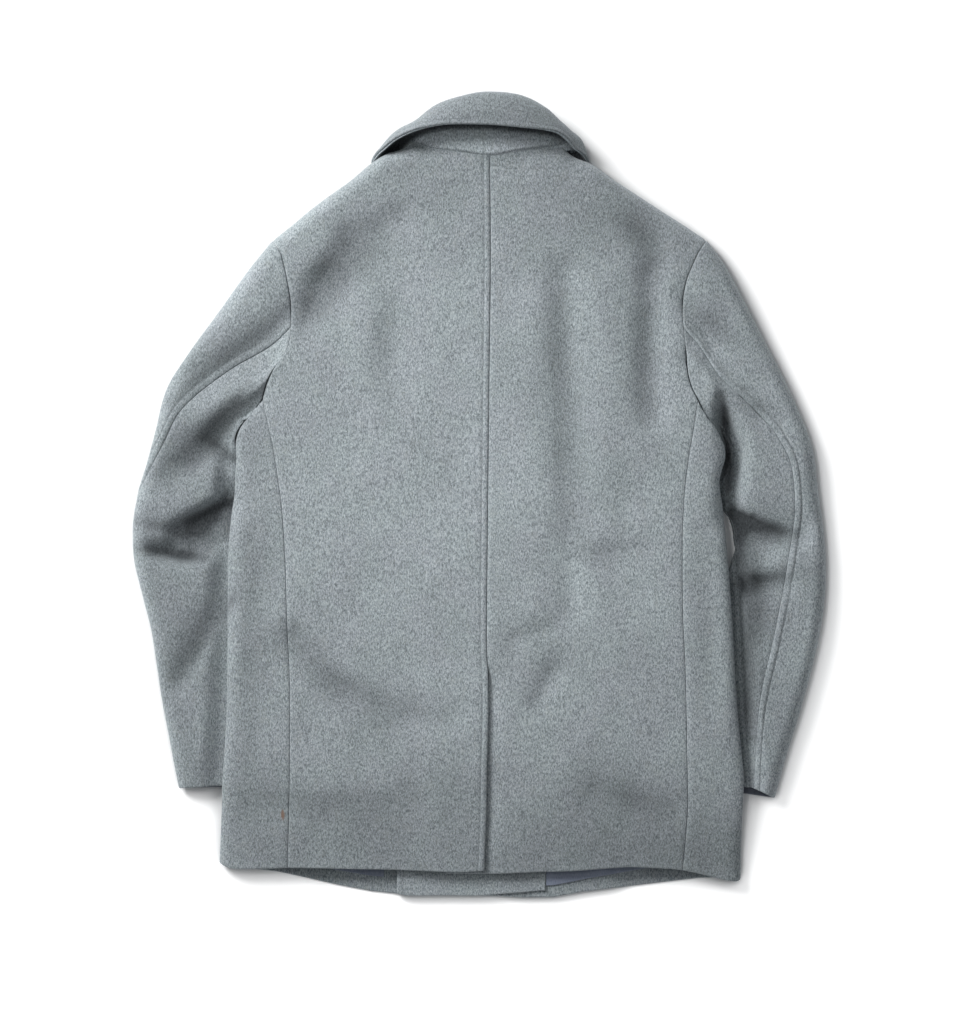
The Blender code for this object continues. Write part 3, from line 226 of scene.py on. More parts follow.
# Collar from its left end round the neck to its right end. Each line: the neck seam, the turn
# and the free edge as x, y, z, then how open the turn is.
COLLAR = [(-50, 262, 3.3, -78, 258, 3.3, -106, 254, 3.3, 0),
          (-54, 300, 3.2, -84, 297, 3.2, -110, 293, 3.2, 0),
          (-62, 322, 3.3, -89, 322, 3.2, -114, 320, 3.2, 0),
          (-68, 340, 3.6, -93, 342, 3.3, -117, 338, 3.4, 0),
          (-75, 355, 3.9, -97, 356, 3.6, -118, 350, 6.5, 2),
          (-83, 368, 6.2, -98, 368, 6, -113, 359.5, 18, 5),
          (-86, 376, 12, -94, 377, 13, -104.5, 366.5, 33, 8),
          (-79, 377, 18.5, -84, 385, 22, -92, 376, 46, 10),
          (-67.5, 373.7, 24.4, -70, 392, 30, -73, 384.5, 54, 11),
          (-50, 368.8, 28.4, -50, 408.5, 36, -51, 389.5, 58.5, 13),
          (-28, 366, 31.3, -24, 418, 41, -30, 391.2, 60.5, 14),
          (7, 361.9, 32.8, 5, 423, 44, 6.4, 390.6, 61.5, 14),
          (36, 366.5, 31.5, 38, 420, 41, 43, 387.5, 60, 14),
          (62, 370, 27.6, 65, 407, 35, 64, 385.5, 57, 13),
          (79, 372.4, 26.4, 82, 391, 27, 79.5, 382, 52, 12),
          (91.5, 375.4, 25, 93, 382, 19, 89.5, 374.5, 44, 10),
          (96, 373, 12, 101.5, 375.5, 12, 97, 366, 33, 8),
          (90, 366, 6.2, 104, 367, 6, 106, 360, 18, 5),
          (80, 353, 3.9, 100, 355, 3.6, 112.5, 351, 6.5, 2),
          (72, 339, 3.6, 96, 340, 3.3, 114, 338, 3.4, 0),
          (64, 322, 3.3, 90, 322, 3.2, 114, 320, 3.2, 0),
          (56, 300, 3.2, 84, 297, 3.2, 110, 293, 3.2, 0),
          (50, 262, 3.3, 78, 258, 3.3, 106, 254, 3.3, 0)]

# Creases of the upper cloth: chains of x, y, half width on the left and on the right of the way
# along, depth
CREASES = [
    # Topsleeve over the elbow seam
    [(-211, 189, 9, 22, 2), (-234, 168, 9, 22, 4.2), (-260, 150, 9, 22, 4.6),
     (-295, 128, 9, 20, 3.2), (-323, 98, 8, 16, 1.2)],
    # Deep valley behind the elbow
    [(-246, 111, 9, 12, 3), (-260, 96, 12, 14, 7.5), (-278, 70, 14, 15, 9.5),
     (-304, 42, 15, 15, 7.5), (-334, 15, 14, 14, 3)],
    # First wrinkle outside the elbow
    [(-367, -31, 7, 5, 2.4), (-351, -36, 7, 5, 2.6), (-332, -38, 7, 5, 1.2)],
    # Second wrinkle outside the elbow
    [(-364, -59, 7, 5, 1.5), (-342, -63, 8, 6, 3.4), (-319, -68, 8, 6, 3.8),
     (-295, -69, 8, 6, 2.6)],
    # Forearm
    [(-268, -116, 8, 12, 3.5), (-285, -135, 8, 13, 4.6), (-300, -163, 8, 13, 4.6),
     (-319, -193, 8, 12, 3.4), (-332, -211, 8, 10, 1)],
    # Upper topsleeve
    [(219, 200, 12, 12, 3), (243, 183, 12, 13, 5), (260, 168, 10, 12, 3)],
    # Above the elbow
    [(226, 143, 8, 8, 2.2), (230, 130, 8, 8, 2.8)],
    # Above the right elbow seam
    [(283, 109, 8, 12, 1.5), (298, 92, 8, 14, 3), (315, 79, 8, 12, 1.5)],
    # Left shoulder arc
    [(-88, 289, 22, 16, 2.4), (-135, 259, 26, 15, 6), (-162, 231, 26, 14, 7.6),
     (-178, 201, 22, 13, 6.4), (-188, 168, 16, 12, 2.6)],
    # Left back, soft
    [(-96, 206, 20, 16, 1.2), (-101, 153, 20, 16, 2), (-94, 79, 18, 16, 1)],
    # Right shoulder
    [(162, 289, 14, 18, 2.2), (179, 270, 14, 18, 3.4), (183, 246, 12, 16, 2.6)],
    # Right back valley
    [(179, 225, 12, 18, 3), (177, 164, 12, 18, 4), (179, 100, 12, 18, 3.4), (188, 47, 12, 16, 1.2)],
    # Middle right valley
    [(82, 232, 14, 18, 1.6), (88, 143, 14, 20, 2.8), (96, 47, 14, 20, 2.6),
     (103, -48, 14, 18, 1.2)],
    # Lower left drag
    [(-198, -150, 12, 22, 2.6), (-152, -201, 12, 22, 4.2), (-92, -231, 12, 20, 3.4),
     (-37, -239, 10, 14, 1.2)],
    # Streak beside the vent
    [(31, -156, 9, 12, 0.5), (60, -146, 10, 14, 1.1), (94, -129, 10, 14, 0.7)],
    # Arc below it
    [(58, -220, 10, 14, 0.9), (71, -188, 10, 14, 1.6), (94, -180, 10, 14, 1.1),
     (124, -199, 10, 12, 0.6)],
    # Smudge
    [(111, -65, 10, 14, 1.6), (143, -61, 10, 14, 2.4), (166, -54, 10, 12, 1.2)],
    # Right hem
    [(124, -315, 12, 16, 1.6), (158, -324, 14, 16, 3), (196, -337, 12, 16, 1.4)],
    # Left hem
    [(-247, -324, 12, 16, 1.2), (-162, -330, 14, 18, 2), (-67, -324, 12, 16, 1)],
]
# Those of the sleeves alone, beside the body's free edge
SLEEVE_CREASES = [
    # Dimple at the body's edge
    [(-292, 58, 7, 8, 2), (-277, 46, 7, 9, 6.5), (-264, 37, 7, 9, 8)],
    # Sharp bend at the elbow
    [(-258, -2, 24, 4, 16), (-279, -10, 28, 4.5, 17), (-302, -23, 24, 7, 12),
     (-323, -36, 18, 9, 5)],
    # Pocket below the bend
    [(-272, -38, 12, 20, 4), (-293, -55, 9, 22, 9.5), (-315, -62, 8, 24, 10.5),
     (-344, -62, 8, 18, 7), (-361, -61, 8, 10, 2)],
    # Beside the body, upper
    [(252, 103, 7, 5, 8), (255, 79, 9, 8, 14), (262, 49, 11, 12, 16), (260, 20, 13, 12, 17),
     (257, -8, 13, 10, 14)],
    # Sharp bend at the right elbow
    [(259, -20, 6, 22, 14), (281, -27, 5, 24, 16), (304, -37, 7, 22, 12), (333, -45, 8, 14, 6)],
    # Right forearm, upper
    [(264, -97, 8, 12, 5), (289, -95, 9, 12, 6.5), (317, -92, 8, 10, 3.5)],
    # Right forearm beside the body
    [(265, -69, 10, 6, 5), (270, -133, 10, 6, 5), (275, -207, 10, 6, 4), (278, -260, 8, 6, 2)],
]
# Painted shade in them, where the cloth is coloured darker: the last number is the amount
SLEEVE_SHADES = [
    # Valley behind the left elbow
    [(-254, 111, 6, 9, 0.1), (-270, 98, 6, 11, 0.2), (-287, 79, 7, 13, 0.25),
     (-307, 61, 8, 13, 0.24), (-329, 39, 8, 10, 0.22), (-346, 24, 7, 8, 0.1)],
    # Sharp bend at the left elbow
    [(-260, -3, 6, 2.5, 1), (-275, -9, 7, 2.5, 1), (-292, -17, 9, 3, 0.9), (-308, -25, 12, 4, 0.7),
     (-323, -31, 10, 5, 0.3)],
    # Pocket below it
    [(-283, -24, 8, 6, 0.5), (-299, -36, 10, 10, 0.75), (-315, -43, 8, 8, 0.4)],
    # Wrinkle outside it
    [(-360, -55, 4, 4, 0.15), (-337, -60, 4, 5, 0.2), (-311, -65, 4, 6, 0.4),
     (-293, -67, 4, 5, 0.25)],
    # Dimple at the body's edge
    [(-287, 58, 3, 4, 0.1), (-275, 48, 4, 5, 0.3), (-263, 39, 4, 6, 0.45)],
    # Along the body's edge
    [(-265, -14, 4, 6, 0.3), (-269, -38, 5, 6, 0.25), (-272, -57, 5, 6, 0.12)],
    # Beside the body on the right
    [(255, 104, 4, 4, 0.5), (257, 87, 5, 5, 1), (258, 58, 6, 5, 1), (260, 31, 7, 7, 1),
     (260, 10, 6, 7, 0.8), (259, -6, 4, 5, 0.4)],
    # Sharp bend at the right elbow
    [(265, -21, 10, 8, 1.2), (275, -26, 9, 10, 1.2), (294, -32, 7, 12, 1), (315, -38, 6, 12, 0.8),
     (332, -42, 5, 8, 0.35)],
    # Right forearm beside the body
    [(272, -29, 8, 6, 0.5), (273, -54, 15, 7, 1.2), (276, -77, 19, 7, 1.25),
     (281, -103, 27, 8, 1.2),
     (283, -135, 21, 8, 1.2), (282, -167, 14, 7, 1.1), (283, -199, 13, 7, 1.1),
     (283, -228, 11, 7, 1.05), (286, -258, 9, 6, 0.75), (289, -273, 8, 5, 0.3)],
    # Right forearm, upper
    [(275, -89, 6, 8, 0.2), (299, -87, 6, 8, 0.28), (323, -84, 6, 8, 0.12)],
]
# Painted shade on the back, listed the same way
BACK_SHADES = [
    # Left shoulder arc
    [(-116, 289, 10, 12, 0.08), (-147, 270, 9, 13, 0.24), (-171, 246, 9, 13, 0.28),
     (-180, 224, 8, 12, 0.26), (-188, 201, 8, 10, 0.22), (-193, 183, 7, 8, 0.1)],
    # Collar's shadow on the right shoulder
    [(124, 306, 14, 14, 0.05), (162, 285, 14, 16, 0.14), (177, 259, 12, 14, 0.1)],
]
# Unevenness of worn cloth: bump size, height, seed
RIPPLES = [(62, 0.9, 3), (27, 0.45, 4), (12, 0.16, 5), (6, 0.05, 6)]
# Patches of painted shade, where the cloth is coloured darker: x, y, half widths, amount
SHADE_PATCHES = [(150, 300, 110, 70, 0.35), (-60, 330, 90, 40, 0.2), (200, -385, 190, 55, 0.55),
       (-160, -360, 150, 65, 0.3), (-325, -150, 48, 170, 0.46), (-300, 110, 80, 110, 0.2),
       (-225, -120, 30, 200, 0.1), (-30, -290, 90, 60, 0.12), (80, 440, 60, 60, 0.3),
       (155, -320, 60, 32, 0.26), (-245, -150, 18, 170, 0.35)]
FULL_SHADE = 7.6  # depth from which a crease's painted shade gets no darker
SLEEVE_SHADE = 15  # the same for the sleeves' deepest creases
DARKEST = 1.5  # highest amount of painted shade

# Fine lattices
STEP = 3  # spacing away from the edges
RIM = [0, 0.15, 0.5, 1.05, 1.8, 2.8]  # distances from an edge that round it
WIDE_RIM = RIM + [4.2]
NEAR_LINE = RIM + [4, 5, 5.7, 6.2, 6.6, 7.1, 7.8, 9, 11]  # and beside a line of topstitching
TURN_END = 0.995  # share of a shoulder's turn that is laid
# Rough sizes of the lattices, which set their number of rows and columns
BACK_WIDTH, BACK_LENGTH, BACK_TURN = 230, 760, 24
SIDE_WIDTHS, SIDE_LENGTH = (40, 48, 20), 485  # above, round the turn, below
FRONT_WIDTH, FRONT_LENGTH, FRONT_TURN = 340, 700, 20
SLEEVE_LENGTH = 430
COLLAR_LENGTH, COLLAR_WIDTH = 700, 96
SLEEVE_RIM = [0, 0.5, 1.4, 2.6, 4.5, 7]  # the first stations from the armhole
FRONT_CUT = 811  # length of a front's cut
SEAM_DROP = 0.8  # how far a sewn edge dips
SEAM_WIDTH = 1.9
LINE_DROP = 0.6  # how far a line of topstitching dips
LINE_WIDTH = 1.3
BAND_HEIGHT = 0.55  # of the seam allowance below topstitching
NO_LINE = 99.0  # distance to topstitching where there is none
ON_FLOOR = 0.05  # nothing reaches lower
LINED_FROM = 0.75  # share of a sleeve's rows from which its inside is satin
lattice_store = {}  # the outer face of each piece: points, normals, distances from the edges

# Stitches
STITCH_LENGTH = 3.6
STITCH_PITCH = 4.4
STITCH_RADIUS = 0.38
STITCH_SIDES = 6
STITCH_PROFILE = [(-0.5, 0.25), (-0.36, 0.8), (-0.1, 1), (0.1, 1), (0.36, 0.8), (0.5, 0.25)]
TOPSTITCH = 6.5  # from the centre seam, the facing's edge and the front edge
ELBOW_STITCH = 7.5
COLLAR_STITCH = 5.5
VENT_STITCH_Y = -200  # the bar that closes the vent's top
VENT_STITCH_LENGTH = 11
VENT_ROWS = 240  # rows of the back in which the bar is looked for

# Sleeves and collar
ARM_SPLIT = 7  # lattice lines between those of the solids
# How the undersleeve lies beside the armpit: x, y, half widths, height; raised on the left, sunk
# on the right
ARMPIT_LIFT = {
    LEFT: [(-262, 70, 7, 7, 4), (-262, 50, 9, 9, 7.5), (-263, 25, 10, 10, 7), (-262, 5, 9, 9, 3)],
    RIGHT: [(257, 80, 8, 7, 6), (264, 63, 9, 8, 9), (268, 48, 10, 9, 9), (264, 25, 9, 9, 4)],
}
LIFT_SIGN = {LEFT: 1, RIGHT: -1}
ARMPIT = {LEFT: (-260, 62), RIGHT: (264, 58)}
ARMPIT_SINK = {LEFT: 0, RIGHT: 8}
ARMPIT_SIZE = (20, 34)  # half widths of what is smoothed there, in so many rounds
RELAX_ROUNDS = 90
SLEEVE_ROLLS = (15, 7)  # how far in from its outer edge and inner fold a sleeve turns round
SLEEVE_MIDDLE = 0.42  # share of a sleeve's height at which its layers meet outside
# The cuff's lower layer: drop at the body's side, from where it starts, over which width
CUFF_DROP = {LEFT: (1.5, 320, 40), RIGHT: (10, 309.5, 32.8)}
COLLAR_TUCK = [11, 10.9, 10.2, 8, 5, 2]  # rows of the stand below its seam
TUCK_LOWEST = 1.4
LINING_LOWER = {LEFT: 0, RIGHT: 3.5}  # lower than the turned hem's edge
LINING_RISE = {LEFT: 0, RIGHT: 8}  # and higher again at the side seam
FACING_RISE = 7.5  # the facing's lower corner
VENT_REACH = {LEFT: (84, 36), RIGHT: (20, 18)}  # how far the vent's step reaches, and fades

# Materials: which slot each belongs to, then colours
# Dark and light fibres, flecks, warm clumps
WOOL_COLOURS = [(0.108, 0.127, 0.137), (0.448, 0.493, 0.52), (0.6, 0.64, 0.665),
                (0.33, 0.35, 0.34)]
WOOL_TINTS = [(0.985, 1.004, 0.99, 1), (1.002, 0.998, 1.004, 1)]
# Colour of the painted shade, which the wool is mixed towards
PAINTED_SHADE_TINT = (0.16, 0.16, 0.165, 1)
SATIN_COLOURS = [(0.165, 0.195, 0.265, 1), (0.26, 0.292, 0.372, 1)]
THREAD_COLOURS = [(0.16, 0.18, 0.19, 1), (0.3, 0.33, 0.345, 1)]
HORN_COLOURS = [(0.018, 0.018, 0.02, 1), (0.085, 0.075, 0.065, 1)]
# A small brown stain beside the left back seam
STAIN_COLOUR = (0.21, 0.115, 0.07, 1)
STAIN = (-208.5, -338.5)
STAIN_SCALE = (1 / 0.0024, 1 / 0.0066, 0)
STAIN_SHIFT = (-STAIN[0] * MM * STAIN_SCALE[0], -STAIN[1] * MM * STAIN_SCALE[1], 0)

# The cut of each sheet: piece, width, length, area in metres, and what it lies on
CUTS = [
    ("back_cloth_left", 0.266, 0.790, 0.165, "front_cloth_left"),
    ("back_cloth_right", 0.266, 0.790, 0.168, "front_cloth_right"),
    ("side_cloth_left", 0.113, 0.500, 0.045, "front_cloth_left"),
    ("side_cloth_right", 0.102, 0.500, 0.041, "front_cloth_right"),
    ("front_cloth_left", 0.386, 0.811, 0.248, "front_cloth_right"),
    ("front_cloth_right", 0.392, 0.811, 0.240, "facing_cloth_right"),
    ("facing_cloth_right", 0.168, 0.718, 0.106, "front_cloth_right"),
    ("lining_cloth_left", 0.118, 0.411, 0.044, "front_cloth_left"),
    ("lining_cloth_right", 0.151, 0.417, 0.057, "front_cloth_right"),
    ("undersleeve_cloth_left", 0.302, 0.571, 0.098, "topsleeve_cloth_left"),
    ("undersleeve_cloth_right", 0.265, 0.541, 0.057, "topsleeve_cloth_right"),
    ("topsleeve_cloth_left", 0.261, 0.629, 0.064, "undersleeve_cloth_left"),
    ("topsleeve_cloth_right", 0.269, 0.628, 0.080, "undersleeve_cloth_right"),
    ("collar_top_cloth", 0.507, 0.123, 0.035, "collar_under_cloth"),
    ("collar_under_cloth", 0.485, 0.117, 0.032, "back_cloth_left"),
]

# Stage, in metres
FLOOR_HALF = 20
FLOOR_GLOW = 0.6  # painted light: the floor glows so the paper stays white round the coat
WORLD_STRENGTH = 0.2
SPOT_RADIUS = 0.3
# Lights: name, kind, place, aim, width of the disk or angle of the cone, watts
LIGHTS = [
    ("key", "AREA", (-2.3, 2.05, 1.9), (0, 0, 0), 1.7, 161),
    ("fill", "AREA", (0.3, -2.4, 0.9), (0, 0.3, 0.03), 1, 5),
    ("pool", "SPOT", (-0.7, 0.6, 2.5), (0, 0.03, 0.02), 0.36, 78),
]
SENSOR = 36  # millimetres
FRAME_HEIGHT = 1.0854  # what the camera's frame covers at the height of the back
CAMERA_HEIGHT = 12
CAMERA_PLANE = 0.02
CAMERA_X, CAMERA_Y = 0.0006, -0.0174


def smooth_step(value):
    """0 below 0, 1 above 1, and a soft change between."""
    value = np.clip(value, 0, 1)
    return value * value * (3 - 2 * value)


def along(table, column, place):
    """A column of a table at a place given by its first column, on a smooth curve through the
    rows."""
    rows = np.asarray(table, float)
    xs, ys = rows[:, 0], rows[:, column]
    steps = np.diff(ys) / np.diff(xs)
    slopes = np.concatenate([steps[:1], (steps[1:] + steps[:-1]) / 2, steps[-1:]])
    slopes[1:-1][steps[1:] * steps[:-1] <= 0] = 0
    place = np.clip(place, xs[0], xs[-1])
    low = np.clip(np.searchsorted(xs, place, side="right") - 1, 0, len(xs) - 2)
    width = xs[low + 1] - xs[low]
    t = (place - xs[low]) / width
    first = (1 + 2 * t) * (1 - t) ** 2 * ys[low] + t * (1 - t) ** 2 * width * slopes[low]
    last = t * t * (3 - 2 * t) * ys[low + 1] + t * t * (t - 1) * width * slopes[low + 1]
    return first + last


def line_at(points, share):
    """Each column of a line of points at a share of its length in the plane."""
    rows = np.asarray(points, float)
    steps = np.hypot(np.diff(rows[:, 0]), np.diff(rows[:, 1]))
    way = np.concatenate([[0], np.cumsum(steps)])
    table = np.column_stack([way / way[-1], rows])
    return [along(table, k, share) for k in range(1, table.shape[1])]


def rows_at(rows, share):
    """Each column of evenly spaced rows at a share of the way through them."""
    table = np.column_stack([np.linspace(0, 1, len(rows)), rows])
    return [along(table, k, share) for k in range(1, table.shape[1])]


def value_noise(x, y, size, seed):
    """Smooth noise between -1 and 1 with bumps about size apart."""
    table = np.random.default_rng(seed).uniform(-1, 1, (64, 64))
    gx = np.asarray(x) / size + 31.7
    gy = np.asarray(y) / size + 17.3
    ix, iy = np.floor(gx).astype(int), np.floor(gy).astype(int)
    fx, fy = (f * f * f * (10 + f * (6 * f - 15)) for f in (gx - ix, gy - iy))
    low, high = (table[ix % 64, j % 64] * (1 - fx) + table[(ix + 1) % 64, j % 64] * fx
                 for j in (iy, iy + 1))
    return low * (1 - fy) + high * fy


def nearest_on(start, end, x, y):
    """The share of a line that is nearest to x, y, and the way from there to x, y."""
    run = np.subtract(end, start).astype(float)
    dx, dy = x - start[0], y - start[1]
    t = np.clip((dx * run[0] + dy * run[1]) / (run @ run), 0, 1)
    return t, dx - t * run[0], dy - t * run[1]


def crease(chain, x, y):
    """Depth of one crease at x, y."""
    deepest = np.zeros(np.broadcast(x, y).shape)
    for (x0, y0, left0, right0, depth0), (x1, y1, left1, right1, depth1) in zip(chain, chain[1:]):
        t, dx, dy = nearest_on((x0, y0), (x1, y1), x, y)
        away = np.hypot(dx, dy)
        # 1 on the left of the way along, -1 on the right, smooth round the ends
        turn = (x1 - x0) * dy - (y1 - y0) * dx
        turn = turn / (np.hypot(x1 - x0, y1 - y0) * np.maximum(away, 1e-6))
        left = left0 + (left1 - left0) * t
        right = right0 + (right1 - right0) * t
        width = (left + right + (left - right) * turn) / 2
        depth = depth0 + (depth1 - depth0) * smooth_step(t)
        deepest = np.maximum(deepest, depth * np.exp(-((away / width) ** 2)))
    return deepest


def crease_depth(chains, x, y):
    """Depth of these creases together at x, y."""
    return sum((crease(chain, x, y) for chain in chains), np.zeros(np.broadcast(x, y).shape))


def folds(x, y):
    """How far folds, creases and small unevenness lower the upper cloth at x, y."""
    drop = crease_depth(CREASES, x, y)
    for x0, y0, x1, y1, width, depth in FOLDS:
        away = np.hypot(*nearest_on((x0, y0), (x1, y1), x, y)[1:])
        drop = drop + depth * np.exp(-((away / width) ** 2))
    for size, height, seed in RIPPLES:
        drop = drop - height * value_noise(x, y, size, seed)
    return drop


def back_top(x, y):
    """Height of the back's outer face."""
    return along(BACK_HEIGHT, 1, y) - 2.5 * (x / 270) ** 2 - folds(x, y)


def front_bottom(x, y):
    """Height of the outer front's outer face, which is below."""
    over = sum(smooth_step((side * x - along(SLEEVE_REACH[side], 1, y) + 42) / 38)
               for side in (LEFT, RIGHT))
    level = BODY_OVER_SLEEVE * over * along(RAISE_ALONG, 1, y)
    near_neck = smooth_step((y - 222) / 26) * smooth_step((160 - np.abs(x)) / 26)
    middle_x, middle_y, half_x, half_y = BUTTON_FIELD
    across = smooth_step((half_x + 70 - np.abs(x - middle_x)) / 70)
    up = smooth_step((half_y + 90 - np.abs(y - middle_y)) / 90)
    level = np.maximum(level, COLLAR_RAISE * near_neck)
    return np.maximum(level, BUTTON_RAISE * across * up)


def front_level(side, x, y):
    """Height of a front's outer face: the right front steps over the left one's free edge."""
    level = front_bottom(x, y)
    if side == RIGHT:
        level = level + (WALL + FRONT_GAP) * smooth_step((FREE_EDGE[LEFT] + 62 - x) / 34)
    return level


def coons(u, v, left, right, bottom, top):
    """The plane points of a patch between four edges, each a function that gives x, y."""
    corners = bottom(0.0), bottom(1.0), top(0.0), top(1.0)
    return [(1 - u) * first + u * last
            + (1 - v) * (low - (1 - u) * a - u * b) + v * (high - (1 - u) * c - u * d)
            for first, last, low, high, a, b, c, d
            in zip(left(v), right(v), bottom(u), top(u), *corners)]


def move_in(places, steps, tip_share, tip, armhole):
    """Moves the points of a top edge in by the width of its turn: straight in by the steps at the
    neck, and to the top of the armhole's line at the shoulder's tip."""
    tip_step = armhole[-1][1] - tip[0], armhole[-1][0] - tip[1]
    return [place + (1 - tip_share) * step + tip_share * end
            for place, step, end in zip(places, steps, tip_step)]


def turn_top(v, edge, flat):
    """The plane points of a patch with a quarter turn at its top edge, and the turn's angle."""
    turn = np.radians(90 * (2 - np.maximum(v, 1)))
    inward = 1 - np.cos(turn)
    return [np.where(v > 1, a + (b - a) * inward, b) for a, b in zip(edge, flat)], turn


def back_top_edge(side, u, inset):
    """x, y, height of the back's top edge; inset moves it in by the width of the turn."""
    split = BACK_NECK_SHARE
    on_neck = np.clip(u / split, 0, 1)
    on_shoulder = np.clip((u - split) / (1 - split), 0, 1)
    out, y, z = (np.where(u < split, a, b) for a, b in
                 zip(line_at(NECK_BACK[side], on_neck), line_at(SHOULDER[side], on_shoulder)))
    if inset:
        out, y = move_in((out, y), (-3 * smooth_step(on_neck), -15), smooth_step(on_shoulder),
                         SHOULDER_TIP[side], ARMHOLE_BACK[side])
    return out, y, z


def vent_lift(side, x, y):
    """The left half rises over the vent, the right half sinks below it."""
    open_below = smooth_step((VENT_TOP + 26 - y) / 24)
    away = side * (x - along(CENTRE, 1, y))
    reach, fade = VENT_REACH[side]
    return -side * VENT_STEP * open_below * smooth_step((reach - away) / fade)


def back_point(side, u, v):
    """Outer face of a back panel: u from the centre seam out, v from the hem up, 1 to 2 the
    turn."""
    armhole, hem = ARMHOLE_BACK[side], HEM_BACK[side]
    hem_y, start, end = hem[0][1], hem[-1][1], armhole[-1][0]

    def centre_edge(t):
        y = hem_y + t * (NECK_BACK[side][0][1] - 15 - hem_y)
        lap = VENT_LAP * smooth_step((VENT_TOP - y) / 20) if side == RIGHT else 0
        return side * along(CENTRE, 1, y) - lap, y

    def outer_edge(t):
        y = start + t * (end - start)
        return np.where(y < armhole[0][0], along(BACK_SEAM[side], 1, y), along(armhole, 1, y)), y

    flat = coons(u, np.minimum(v, 1), centre_edge, outer_edge, lambda t: line_at(hem, t),
                 lambda t: back_top_edge(side, t, True)[:2])
    *edge, edge_z = back_top_edge(side, u, False)
    (out, y), turn = turn_top(v, edge, flat)
    round_over = smooth_step((u - BACK_NECK_SHARE) / 0.12 + 0.5)
    rise = round_over * np.sin(turn) + (1 - round_over) * smooth_step(1 - np.cos(turn))
    level = back_top(side * out, y) + vent_lift(side, side * out, y)
    z = np.where(v > 1, edge_z + (level - edge_z) * rise, level)
    return np.stack([side * out, y, z], axis=-1)


def side_point(side, u, v):
    """Outer face of a side panel: u 0 to 1 above, 1 to 2 the turn, 2 to 3 below; v from the hem."""
    hem_y, top_y = (along(SIDE_ENDS[side], k, u) for k in (1, 2))
    y = hem_y + v * (top_y - hem_y)
    roll_from = along(SIDE_EDGE[side], 1, y) - ROLL
    seam = along(BACK_SEAM[side], 1, y)
    turn = np.radians(90 - 180 * np.clip(u - 1, 0, 1))
    above = seam + np.clip(u, 0, 1) * (roll_from - seam)
    rolled = roll_from + ROLL * np.cos(turn)
    below = roll_from - np.clip(u - 2, 0, 1) * (SIDE_TURN - ROLL)
    x = side * np.where(u < 1, above, np.where(u <= 2, rolled, below))
    top, bottom = back_top(x, y), front_level(side, x, y)
    return np.stack([x, y, (top + bottom) / 2 + (top - bottom) / 2 * np.sin(turn)], axis=-1)


def front_point(side, u, v):
    """Outer face of a front: u from the side seam to the free edge, v from the hem up, 1 to 2 the
    shoulder's turn."""
    armhole = ARMHOLE_FRONT[side]
    hem_y, end = SIDE_ENDS[side][-1][1], armhole[-1][0]
    split = FRONT_SHOULDER_SHARE
    free_x, neck_out = side * FREE_EDGE[side], SHOULDER[side][0][0]

    def hem_at(out):
        return np.interp(side * out, *np.transpose(HEM_FRONT))

    def side_edge(t):
        y = hem_y + t * (end - hem_y)
        under = along(SIDE_EDGE[side], 1, y) - SIDE_TURN
        return np.where(y < armhole[0][0], under, along(armhole, 1, y)), y

    def free_edge(t):
        start = hem_at(free_x)
        return free_x + 0 * t, start + t * (NECK_FRONT[-1][1] - 2 - start)

    def hem_edge(t):
        first = along(SIDE_EDGE[side], 1, hem_y) - SIDE_TURN
        out = first + t * (free_x - first)
        return out, hem_at(out) + (hem_y - hem_at(first)) * (1 - t)

    def neck_share(t):
        return np.clip((t - split) / (1 - split), 0, 1)

    def top(t, inset):
        on_neck, on_shoulder = neck_share(t), np.clip(1 - t / split, 0, 1)
        neck = neck_out + on_neck * (free_x - neck_out), along(NECK_FRONT, 1, on_neck), 22
        out, y, z = (np.where(t < split, a, b)
                     for a, b in zip(line_at(SHOULDER[side], on_shoulder), neck))
        if inset:
            steps = -3 * smooth_step(1 - on_neck), -12 + 10 * smooth_step(on_neck / 0.4)
            out, y = move_in((out, y), steps, smooth_step(on_shoulder), SHOULDER_TIP[side], armhole)
        return out, y, z

    flat = coons(u, np.minimum(v, 1), side_edge, free_edge, hem_edge, lambda t: top(t, True)[:2])
    *edge, edge_z = top(u, False)
    (out, y), turn = turn_top(v, edge, flat)
    level = front_level(side, side * out, y)
    edge_z = level + (edge_z - level) * along(NECK_FRONT, 2, neck_share(u))
    z = np.where(v > 1, edge_z + (level - edge_z) * np.sin(turn), level)
    return np.stack([side * out, y, z], axis=-1)


def sleeve_ring(side, t, place):
    """Points of a sleeve: t from armhole to cuff, place 0 outer edge, 1 body's edge, 2 inner fold,
    then below back to 3, the outer edge."""
    *plane, height = rows_at(SLEEVE[side], t)
    outer, body, inner = np.array(plane).reshape(3, 2, -1)
    place = np.mod(place, 3)
    first, second = np.hypot(*(body - outer)), np.hypot(*(inner - body))
    whole = first + second
    on_first = (1 - np.cos(np.pi / 2 * np.clip(place, 0, 1))) * first
    on_second = first + np.sin(np.pi / 2 * np.clip(place - 1, 0, 1)) * second
    beneath = (1 + np.cos(np.pi * np.clip(place - 2, 0, 1))) / 2 * whole
    way = np.where(place < 1, on_first, np.where(place < 2, on_second, beneath))
    out, y = (outer + (body - outer) * np.clip(way / first, 0, 1)
              + (inner - body) * np.clip((way - first) / second, 0, 1))
    edge = along(SIDE_EDGE[side], 1, y)
    clear = np.maximum(smooth_step((out - edge - 1) / 26), smooth_step((y - 44) / 46))
    upper = SLEEVE_TOP_UNDER + (height - folds(side * out, y) - SLEEVE_TOP_UNDER) * clear
    roll = 1.0
    for distance, radius in zip((way, whole - way), SLEEVE_ROLLS):
        roll = roll * np.sqrt(1 - (1 - np.clip(distance / radius, 0, 1)) ** 2)
    mix = smooth_step((way - first / 2) / (first / 2 + 1))
    middle = height * SLEEVE_MIDDLE * (1 - mix) + SLEEVE_TOP_UNDER / 2 * mix
    z = np.where(place < 2, middle + (upper - middle) * roll, middle - middle * roll)
    return np.stack([side * out, y, z], axis=-1)


def unit(vectors):
    return vectors / np.maximum(np.linalg.norm(vectors, axis=-1, keepdims=True), 1e-9)


